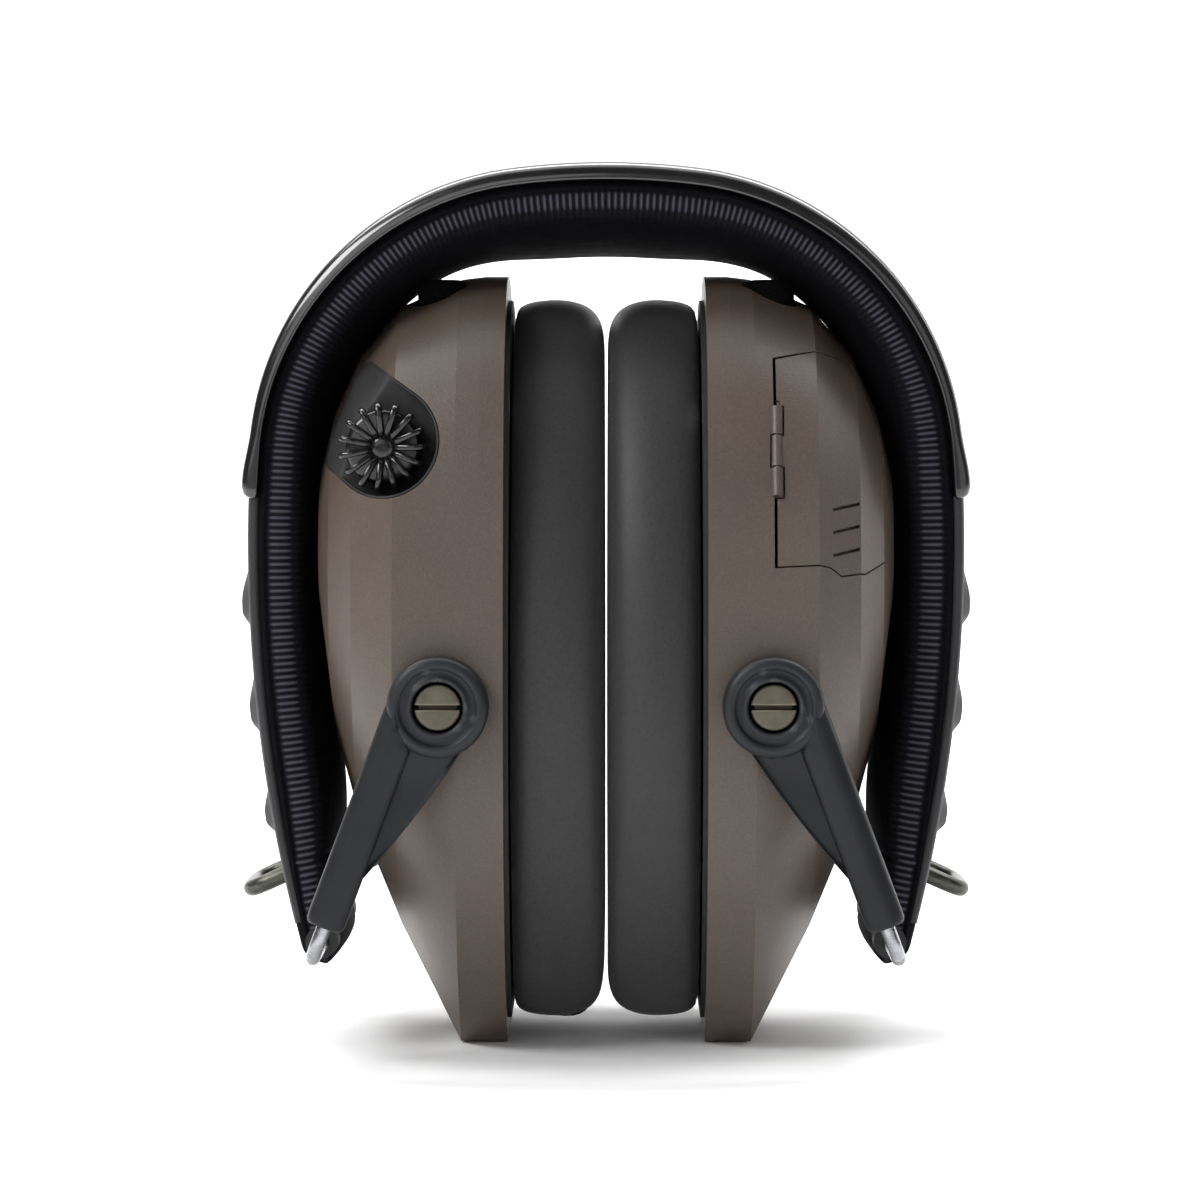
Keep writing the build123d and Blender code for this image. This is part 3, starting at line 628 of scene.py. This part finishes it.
def cover_half(side, label):
    """The glossy cover, which swells into a small lip at its end."""
    rows = [(COVER_END * i / COVER_ROWS, 0.0) for i in range(COVER_ROWS + 1)]
    rows += [(COVER_END + past, shrink) for past, shrink in COVER_ROUND_OFF]
    rings = []
    for s, shrink in rows:
        point, inward = band_at(s)
        swell = smoothstep(s, COVER_END - 9.0, COVER_END - 1.5)
        fall = smoothstep(s, COVER_END - 1.0, COVER_END + 0.6)
        flare = COVER_FLARE * swell * (1 - 0.5 * fall)
        ring = []
        for y, depth in rounded_channel(lip_depth(s)):
            if shrink:
                depth = depth + (1.2 - depth) * shrink * 0.6
                y = y * (1 - 0.02 * shrink)
            lift = flare if depth < 1.0 else 0.0
            place = point + inward * (depth - lift)
            ring.append((side * place[0], y, place[1]))
        rings.append(ring)
    return loft(f"{label}_band_cover", rings, cap_start=False)


GRIP_HEIGHTS = ((68.5, 60.3), (53.4, 45.2), (37.2, 30.8))    # top and bottom of each wedge
GRIP_RISE = 1.35
GRIP_HALF_WIDTH = 19.9
GRIP_BACK = 1.7
GRIP_ROW = 0.45                          # distance between rows of points
GRIP_COLUMNS = 33


def grip_piece(side, label):
    """The rubber strip with three wedges that swell downwards and drop off at the bottom."""
    stations = list(np.arange(COVER_END + 0.4, BAND_LENGTH - 0.2, GRIP_ROW))
    w = GRIP_HALF_WIDTH
    across = list(np.linspace(-1, 1, GRIP_COLUMNS))
    rings = []
    for s in stations:
        point, inward = band_at(s)
        z = point[1]
        rise = 0.0
        for high, low in GRIP_HEIGHTS:
            t = (high - z) / (high - low)
            if -0.1 < t < 1.25:
                rise = GRIP_RISE * smoothstep(t, -0.1, 0.72) * (1 - smoothstep(t, 0.86, 1.22))
        ring = []
        for u in across:
            side_fade = 1 - smoothstep(abs(u), 0.74, 0.84)
            edge = max(0.0, abs(u) - 0.95) / 0.05
            depth = 0.15 + 0.5 * edge ** 2 - rise * side_fade
            place = point + inward * depth
            ring.append((side * place[0], u * w, place[1]))
        for u in across[::-1]:
            place = point + inward * GRIP_BACK
            ring.append((side * place[0], u * w, place[1]))
        rings.append(ring)
    return loft(f"{label}_grip_cover", rings)


def build_headband():
    """Sleeves and covers follow the band's line; the left ones also stand for the crown's nodes."""
    for side, label in SIDES:
        sleeve = sleeve_half(side, label)
        cover = cover_half(side, label)
        nodes = [f"{label}_sleeve", f"{label}_foam"]
        shared = ["crown_sleeve", "crown_foam"] if side < 0 else []
        finish_piece(sleeve, MATERIALS["band_fabric"], replaces=nodes + shared)
        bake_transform(sleeve)
        shared = ["crown_cover"] if side < 0 else []
        finish_piece(cover, MATERIALS["band_cover"], replaces=[f"{label}_cover"] + shared)
        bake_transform(cover)
        grip = grip_piece(side, label)
        finish_piece(grip, MATERIALS["grip_rubber"], f"{label}_side",
                     [f"{label}_grip_strip"])


# ---- the cushions --------------------------------------------------------------------------
PLATE_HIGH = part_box("right_back_plate")[1]
CUP_HEIGHT = PLATE_HIGH.z / MM
CUP_HALF_DEPTH = PLATE_HIGH.y / MM
CUP_HALF_FLAT = 13.0
CUP_WAIST = 0.46                         # where the oval is widest, as a share of its height
CUSHION_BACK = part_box("right_ear_cushion")[1].x / MM
CUSHION_FACE = 0.08
CUSHION_POINTS = 30                      # to a quarter of the oval
CLOTH_PRESSURE, CLOTH_FRAMES, CLOTH_REACH = 3.0, 14, 0.7


def outline(inset, count):
    """(y, z) points around the cup's oval, drawn in by inset."""
    low = inset
    high = CUP_HEIGHT - inset
    h = CUP_HALF_DEPTH - inset
    f = min(CUP_HALF_FLAT, h * 0.6)
    waist = low + (high - low) * CUP_WAIST
    right = hermite((f, low), (1.0, 0.55), (h, waist), (0, 1), count)
    right += hermite((h, waist), (0, 1), (0, high), (-1, 0), count)
    left = [np.array((-p[0], p[1])) for p in right[::-1]]
    top = [np.array((0.0, high))]
    flat = [np.array((f * (1 - 2 * (i + 1) / 9), low)) for i in range(8)]
    return right + top + left + flat


def inflate(piece, pressure, frames, cap, pin):
    """Puffs a closed skin with a short cloth simulation.

    Pinned points stay, and no point moves further than cap.
    """
    group = piece.vertex_groups.new(name="pin")
    group.add([int(i) for i in pin], 1.0, "REPLACE")
    start = np.array([v.co for v in piece.data.vertices])
    modifier = piece.modifiers.new("cloth", "CLOTH")
    settings = modifier.settings
    settings.quality = 6
    settings.mass = 0.2
    settings.tension_stiffness = 12
    settings.compression_stiffness = 12
    settings.bending_stiffness = 0.6
    settings.use_pressure = True
    settings.uniform_pressure_force = pressure
    settings.vertex_group_mass = "pin"
    settings.effector_weights.gravity = 0.0
    scene = bpy.context.scene
    modifier.point_cache.frame_start = 1
    modifier.point_cache.frame_end = frames
    for step in range(1, frames + 1):
        scene.frame_set(step)
    evaluated = piece.evaluated_get(bpy.context.evaluated_depsgraph_get())
    end = np.array([v.co for v in evaluated.data.vertices])
    piece.modifiers.clear()
    scene.frame_set(1)
    moved = end - start
    length = np.linalg.norm(moved, axis=1, keepdims=True)
    moved *= np.minimum(1.0, cap * MM / np.maximum(length, 1e-9))
    piece.data.vertices.foreach_set("co", (start + moved).ravel())
    piece.data.update()
    piece.vertex_groups.clear()
    return piece


def cushion_section():
    """(x, inset) around the cushion's cross-section, from the seam at the outer back."""
    back, face = CUSHION_BACK - 0.2, CUSHION_FACE
    outer = [(back, 5.4), (back - 0.8, 4.2), (back - 2.2, 3.6), (back - 4.2, 3.3), (back - 6.4, 3.2),
             (back - 8.4, 3.4), (face + 2.6, 4.1), (face + 1.2, 5.3), (face + 0.4, 7.0)]
    inner = [(face + 0.1, 9.4), (face + 0.1, 12.0), (face + 0.4, 14.6), (face + 1.4, 17.0),
             (face + 3.2, 18.6), (back - 6.4, 19.4), (back - 3.2, 19.4), (back, 18.8), (back, 12.0)]
    return outer + inner


def build_cushions():
    for side, label in SIDES:
        section = cushion_section()
        loops = [outline(inset, CUSHION_POINTS) for _, inset in section]
        count = len(loops[0])
        rings = []
        for j in range(count):
            ring = [(side * x, loop[j][0], loop[j][1]) for (x, _), loop in zip(section, loops)]
            rings.append(ring)
        cushion = loft(f"{label}_cushion_skin", rings, closed_rows=True)
        columns = len(section)
        pinned = [j * columns + k for j in range(count) for k in (0, columns - 2, columns - 1)]
        inflate(cushion, CLOTH_PRESSURE, CLOTH_FRAMES, CLOTH_REACH, pinned)
        points = np.array([v.co for v in cushion.data.vertices])
        points[:, 0] = side * np.maximum(side * points[:, 0], CUSHION_FACE * 0.6 * MM)
        cushion.data.vertices.foreach_set("co", points.ravel())
        subdivide(cushion)
        finish_piece(cushion, MATERIALS["cushion_leather"], f"{label}_cup",
                     [f"{label}_ear_cushion"])


# ---- the volume wheel ----------------------------------------------------------------------
def wheel_points(centre, radius, y, count=48):
    return [(centre[0] + radius * math.cos(2 * math.pi * i / count), y,
             centre[1] + radius * math.sin(2 * math.pi * i / count)) for i in range(count)]


KNOB_LOW, KNOB_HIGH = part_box("volume_knob")
KNOB_CENTRE = ((KNOB_LOW.x + KNOB_HIGH.x) / 2 / MM, (KNOB_LOW.z + KNOB_HIGH.z) / 2 / MM)
KNOB_FRONT = KNOB_LOW.y / MM
KNOB_FINS = 15


def join(name, pieces):
    """One object from several, keeping each one's faces."""
    bm = bmesh.new()
    for piece in pieces:
        bm.from_mesh(piece.data)
        bpy.data.objects.remove(piece)
    mesh = bpy.data.meshes.new(name)
    bm.to_mesh(mesh)
    bm.free()
    mesh.polygons.foreach_set("use_smooth", [True] * len(mesh.polygons))
    joined = bpy.data.objects.new(name, mesh)
    bpy.context.scene.collection.objects.link(joined)
    return joined


def turned(name, centre, profile, count=48):
    """A body turned about the Y axis through centre; profile is (radius, y)."""
    return loft(name, [wheel_points(centre, r, y, count) for r, y in profile])


def fin(centre, angle, index):
    """One thin blade of the wheel, highest near the rim and pointed at its end."""
    front = KNOB_FRONT
    shape = [(1.4, front + 1.3), (2.4, front + 0.5), (4.2, front + 0.1), (5.4, front + 0.15),
             (6.1, front + 0.9), (6.2, front + 1.8), (6.1, front + 4.4), (1.4, front + 4.4)]
    c, s = math.cos(angle), math.sin(angle)
    rings = []
    for offset, full in ((-0.42, 0), (-0.3, 1), (0.3, 1), (0.42, 0)):
        ring = []
        for r, y in shape:
            if not full:
                y += 0.22 if y < front + 2 else 0.0
                r -= 0.2 if r > 6 else 0.0
            ring.append((centre[0] + r * c - offset * s, y, centre[1] + r * s + offset * c))
        rings.append(ring)
    return loft(f"fin_{index}", rings)


def build_knob():
    """A wheel of thin blades around a hub, on its stem."""
    y = KNOB_FRONT
    hub = turned("hub", KNOB_CENTRE, [(0.2, y + 1.0), (0.9, y + 0.95), (1.4, y + 1.1), (1.7, y + 1.5),
                                      (1.75, y + 4.4)])
    disc = turned("disc", KNOB_CENTRE, [(1.6, y + 3.2), (4.6, y + 3.4), (5.0, y + 3.6), (5.2, y + 4.0),
                                        (5.2, y + 5.2), (1.6, y + 5.4)])
    stem = turned("stem", KNOB_CENTRE, [(1.45, y + 5.0), (1.45, y + 8.6)], 24)
    fins = [fin(KNOB_CENTRE, 2 * math.pi * i / KNOB_FINS, i) for i in range(KNOB_FINS)]
    wheel = join("volume_wheel", [hub, disc, stem] + fins)
    finish_piece(wheel, MATERIALS["knob_plastic"], "volume_knob", ["volume_knob"])


SOCKET_RADIUS = 7.9
SOCKET_RISE = 0.9
SOCKET_RUN = (6.0, 4.2)
SOCKET_FLOOR = 26.6
SOCKET_ROUND_STEPS = 28
SOCKET_SIDE_STEPS = 14
AHEAD_OF_CUP = -0.07                     # metres, where the rays towards the cup start
SHADE_SHEET_LIFT = 0.14                        # how far the black sheet of painted shade stands off the cup
SHADE_SHEET_LIMIT = -16.0                      # the painted-shade sheet ends where the cup falls back behind this Y


def socket_outline(radius):
    """Points around the wheel's pocket, a slot that runs outwards and up, with X outwards."""
    centre = np.array((KNOB_CENTRE[0] * -1, KNOB_CENTRE[1] + SOCKET_RISE))
    run = np.array(SOCKET_RUN)
    lean = math.atan2(run[1], run[0])
    points = []
    for start, offset, onward in ((lean - math.pi / 2, run, -run), (lean + math.pi / 2, run * 0, run)):
        for i in range(SOCKET_ROUND_STEPS):
            a = start + math.pi * i / (SOCKET_ROUND_STEPS - 1)
            points.append(centre + offset + radius * np.array((math.cos(a), math.sin(a))))
        corner = points[-1]
        points += [corner + onward * i / SOCKET_SIDE_STEPS for i in range(1, SOCKET_SIDE_STEPS)]
    return points


def build_socket_shade_sheet():
    """A thin black sheet of painted shade in the pocket, up to its mouth and on to where the pocket runs off
    the cup.
    """
    shell = NODES["left_cup_shell"]
    to_shell = shell.matrix_world.inverted()
    ahead = to_shell.to_3x3() @ Vector((0, 1, 0))
    back = -SOCKET_FLOOR - SHADE_SHEET_LIFT
    centre = np.array((-KNOB_CENTRE[0], KNOB_CENTRE[1]))

    def surface(point):
        """How far forward the cup reaches there, or 0 beside it."""
        start = to_shell @ Vector((-point[0] * MM, AHEAD_OF_CUP, point[1] * MM))
        hit, place, _, _ = shell.ray_cast(start, ahead)
        return (shell.matrix_world @ place).y / MM if hit else 0.0

    def held_in(point):
        """The furthest place towards the point that still has the cup below it."""
        for share in np.linspace(1.0, 0.3, 36):
            place = centre + (point - centre) * share
            if surface(place) < SHADE_SHEET_LIMIT:
                return place
        return centre

    rim = [held_in(p) for p in socket_outline(SOCKET_RADIUS - 0.06)]
    thin = [held_in(p) for p in socket_outline(SOCKET_RADIUS - 0.35)]
    floors = [surface(p) - SHADE_SHEET_LIFT for p in thin]
    mouths = [surface(p) + 0.08 for p in socket_outline(SOCKET_RADIUS + 0.35)]
    fronts = [min(floor, mouth) for floor, mouth in zip(floors, mouths)]
    rings = []
    for edge, lift, shares in ((rim, 0.0, (0.0, 0.5, 1.0)), (thin, 0.1, (1.0, 0.5, 0.0))):
        for share in shares:
            rings.append([(-p[0], floor + (front - floor) * share - lift, p[1])
                          for p, floor, front in zip(edge, floors, fronts)])
    for share in np.linspace(0.975, 0.5, 20):
        inner = [centre + (p - centre) * share for p in thin]
        rings.append([(-p[0], surface(p) - SHADE_SHEET_LIFT - 0.1, p[1]) for p in inner])
    rings.append([(-p[0], back, p[1]) for p in (centre + (q - centre) * 0.3 for q in thin)])
    # Matte black, laid just off the cup's own pocket surface: painted shade in the pocket and in the slot it
    # runs off into.
    shade_sheet = loft("socket_shade_sheet", rings, cap_start=False)
    finish_piece(shade_sheet, MATERIALS["black_plastic"], "left_cup")


# ---- the arms and their pins ---------------------------------------------------------------
PIN_LOW, PIN_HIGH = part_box("right_pivot_pins")
PIVOT = ((PIN_LOW.x + PIN_HIGH.x) / 2 / MM, (PIN_LOW.z + PIN_HIGH.z) / 2 / MM)
ARM_BACK, ARM_FRONT = (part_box("right_rear_arm")[i].y / MM for i in (0, 1))
RING_RADIUS = 6.9
SPINE_RADIUS = 2.7
SPINE_OFFSET = 4.0
SPINE_CLEARANCE = 5.7
PIN_FRONT = PIN_HIGH.y / MM


def spine_line():
    """Unit vector up the spine, in X and Z on the right side."""
    dx, dz = PIVOT[0] - BARREL_X, PIVOT[1] - BARREL_Z
    angle = math.atan2(dz, dx) - math.asin(SPINE_OFFSET / math.hypot(dx, dz))
    return np.array((math.cos(angle), math.sin(angle)))


def arm_ring(name):
    """A stepped ring with a sunk seat for the pin's head."""
    f, b = ARM_FRONT, ARM_BACK
    outside = [(6.9, b + 0.4), (6.9, f - 1.3), (6.75, f - 0.75), (6.45, f - 0.35), (6.0, f - 0.12)]
    step = [(5.6, f - 0.1), (5.3, f - 0.25), (5.15, f - 0.5), (5.0, f - 0.6), (4.6, f - 0.6), (4.3, f - 0.5),
            (4.0, f - 0.25), (3.75, f - 0.25), (3.55, f - 0.45), (3.45, f - 0.9)]
    bore = [(3.45, b + 1.9), (2.6, b + 1.85), (2.5, b + 0.3), (2.7, b), (6.5, b)]
    profile = outside + step + bore
    rings = [wheel_points(PIVOT, r, y, 64) for r, y in profile]
    return loft(name, rings, closed_rows=True)


# (distance up the spine, size) of its rounded foot, and of its head, which sinks into the ring
SPINE_FOOT = ((5.0, 0.80), (5.15, 0.9), (5.5, 0.97), (6.2, 1.0), (14, 1.0), (22, 1.0), (28, 1.0), (31, 1.0))
SPINE_HEAD = ((33, 1.0), (34.5, 1.0), (36, 0.99), (37.4, 0.95), (38.6, 0.88), (39.6, 0.76), (40.4, 0.58),
              (41.0, 0.35))


def arm_spine(name):
    """A round tube with a soft ridge, which runs on along the ring's outer side."""
    up = spine_line()
    across = np.array((up[1], -up[0]))
    middle = (ARM_FRONT + ARM_BACK) / 2
    half_depth = (ARM_FRONT - ARM_BACK) / 2
    rings = []
    pivot = np.array(PIVOT)
    for along, size in SPINE_FOOT + SPINE_HEAD:
        ring = []
        for i in range(32):
            a = 2 * math.pi * i / 32
            u = math.copysign(abs(math.cos(a)) ** 0.86, math.cos(a)) * SPINE_RADIUS * size
            v = math.copysign(abs(math.sin(a)) ** 0.8, math.sin(a)) * half_depth * (0.5 + 0.5 * size)
            ridge = 0.22 * math.exp(-((u - 0.5) / 0.7) ** 2) if v > 0 else 0.0
            place = np.array((BARREL_X, BARREL_Z)) + up * along + across * u
            reach = np.linalg.norm(place - pivot)
            if reach < SPINE_CLEARANCE:
                place = pivot + (place - pivot) * SPINE_CLEARANCE / reach
            ring.append((place[0], middle + v * 0.93 + ridge, place[1]))
        rings.append(ring)
    return loft(name, rings)


def arm_web(name):
    """The thin plate between the spine and the ring, with rounded edges."""
    up = spine_line()
    inward = np.array((-up[1], up[0]))
    base = np.array((BARREL_X, BARREL_Z))
    pivot = np.array(PIVOT)
    top = pivot + inward * (RING_RADIUS - 0.7)
    foot = base + up * 6.2
    line = [foot + (top - foot) * t + inward * 0.9 * math.sin(math.pi * t) for t in np.linspace(0, 1, 14)]
    inner_corner = pivot + inward * 4.4 - up * 2.0
    outline_points = line + [inner_corner, base + up * 31.0, base + up * 18.0, base + up * 7.0]
    centre = sum(outline_points) / len(outline_points)
    rings = []
    edge = ((ARM_BACK + 0.5, 0.97), (ARM_BACK + 0.75, 1.0), (ARM_FRONT - 2.2, 1.0), (ARM_FRONT - 1.9, 0.985))
    face = ((ARM_FRONT - 1.8, 0.95), (ARM_FRONT - 1.8, 0.86), (ARM_FRONT - 2.05, 0.82),
            (ARM_FRONT - 2.1, 0.4))
    for y, shrink in edge + face:
        rings.append([(centre[0] + (p[0] - centre[0]) * shrink, y, centre[1] + (p[1] - centre[1]) * shrink)
                      for p in outline_points])
    return loft(name, rings)


def mirror(piece, flip_x, flip_y):
    """Turns a piece of the right rear over to the side and the end that the signs name."""
    for vertex in piece.data.vertices:
        vertex.co.x *= flip_x
        vertex.co.y *= flip_y
    return outward(piece)


def pin_head(name):
    """A domed head split by a deep screwdriver slot, on its shaft."""
    r, f = 3.1, PIN_FRONT
    pieces = [turned(f"{name}_seat", PIVOT, [(2.3, f - 9.0), (2.3, f - 2.9), (2.95, f - 2.8), (2.95, f - 2.1),
                                             (2.6, f - 2.05)], 40)]
    for direction in (-1, 1):
        rings = []
        dome = ((f - 2.2, 0.12), (f - 0.3, 0.0), (f - 0.12, 0.1), (f - 0.02, 0.3), (f, 0.7), (f, 1.2))
        for y, inset in dome:
            reach = r - inset
            start = math.asin((0.33 + 0.35 * inset) / reach)
            ring = []
            for i in range(25):
                a = start + (math.pi - 2 * start) * i / 24
                ring.append((PIVOT[0] + reach * math.cos(a), y, PIVOT[1] + direction * reach * math.sin(a)))
            rings.append(ring)
        pieces.append(loft(f"{name}_half", rings))
    return join(name, pieces)


def build_arms():
    for side, label in SIDES:
        pins = []
        for sign, place in ((-1, "front"), (1, "rear")):
            name = f"{label}_{place}_arm_body"
            arm = join(name, [arm_ring(f"{name}_ring"), arm_spine(f"{name}_spine"), arm_web(f"{name}_web")])
            mirror(arm, side, sign)
            finish_piece(arm, MATERIALS["arm_plastic"], f"{label}_arms",
                         [f"{label}_{place}_arm"])
            pins.append(mirror(pin_head(f"{label}_{place}_pin"), side, sign))
        pair = join(f"{label}_pin_pair", pins)
        finish_piece(pair, MATERIALS["pin_metal"], f"{label}_cup", [f"{label}_pivot_pins"])


# ---- the studio ----------------------------------------------------------------------------
FLOOR_FRONT, FLOOR_BACK = -1.6, 0.9      # metres, as all sizes of the studio
SWEEP_RADIUS = 0.6
WALL_TOP = 2.4
STAGE_HALF_WIDTH = 3.0
FLOOR_GAP = 0.0003


def build_stage():
    """A pale sweep: a floor that curves up into a wall behind the object.

    It goes with the left cup, which sinks but never turns, so the cups stand on it at any pose.
    """
    r = SWEEP_RADIUS
    rows = [(FLOOR_FRONT, 0.0), (FLOOR_BACK, 0.0)]
    for degrees in range(6, 91, 6):
        a = math.radians(degrees)
        rows.append((FLOOR_BACK + r * math.sin(a), r - r * math.cos(a)))
    rows.append((FLOOR_BACK + r, WALL_TOP))
    points, faces = [], []
    for y, z in rows:
        points += [(-STAGE_HALF_WIDTH, y, z - FLOOR_GAP), (STAGE_HALF_WIDTH, y, z - FLOOR_GAP)]
    for i in range(len(rows) - 1):
        faces.append((2 * i, 2 * i + 1, 2 * i + 3, 2 * i + 2))
    sweep = new_object("studio_sweep", points, faces)
    s = Surface("studio_paper", roughness=0.9)
    s.shader.inputs["Base Color"].default_value = (0.93, 0.93, 0.93, 1.0)
    sweep.data.materials.append(s.material)
    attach(sweep, "left_cup")


def area_light(name, place, target, size, power):
    data = bpy.data.lights.new(name, "AREA")
    data.shape = "RECTANGLE"
    data.size, data.size_y = size
    data.energy = power
    light = bpy.data.objects.new(name, data)
    light.location = place
    light.rotation_euler = (Vector(target) - Vector(place)).to_track_quat("-Z", "Y").to_euler()
    bpy.context.scene.collection.objects.link(light)


def build_lights():
    aim = (0, 0, 0.06)
    area_light("key", (-0.45, -1.25, 0.5), aim, (0.9, 0.7), 3.6)
    area_light("fill", (0.75, -1.1, 0.3), aim, (0.7, 0.9), 1.6)
    area_light("top", (0.0, 0.15, 1.2), aim, (1.6, 0.8), 9)
    area_light("strip", (-0.62, -0.42, 0.66), aim, (0.55, 0.3), 7)
    area_light("rim", (0.8, 0.35, 0.45), aim, (0.2, 0.8), 2)
    area_light("backdrop", (0.0, 0.5, 1.5), (0.0, 1.4, 0.3), (2.6, 0.6), 60)
    world = bpy.data.worlds.new("studio")
    world.use_nodes = True
    background = world.node_tree.nodes["Background"]
    background.inputs["Color"].default_value = (1.0, 1.0, 1.0, 1.0)
    background.inputs["Strength"].default_value = 0.10
    bpy.context.scene.world = world
    bpy.context.scene.view_settings.view_transform = "Standard"


CAMERA_DISTANCE = 0.6
CAMERA_ELEVATION = 2.5                   # degrees above the floor
CAMERA_AZIMUTH = 0.2                     # degrees to the right of the front
CAMERA_AIM = (-0.0009, 0.0, 0.0623)
SENSOR_WIDTH = 36.0
LENS = 124.2


def build_camera():
    data = bpy.data.cameras.new("camera")
    data.sensor_width = SENSOR_WIDTH
    data.lens = LENS
    camera = bpy.data.objects.new("camera", data)
    azimuth, elevation = math.radians(CAMERA_AZIMUTH), math.radians(CAMERA_ELEVATION)
    level = math.cos(elevation)
    away = Vector((math.sin(azimuth) * level, -math.cos(azimuth) * level, math.sin(elevation)))
    aim = Vector(CAMERA_AIM)
    camera.location = aim + away * CAMERA_DISTANCE
    camera.rotation_euler = (-away).to_track_quat("-Z", "Y").to_euler()
    bpy.context.scene.collection.objects.link(camera)
    bpy.context.scene.camera = camera


dress_cad_nodes()
build_headband()
build_cushions()
build_knob()
build_socket_shade_sheet()
build_arms()
build_stage()
build_lights()
build_camera()
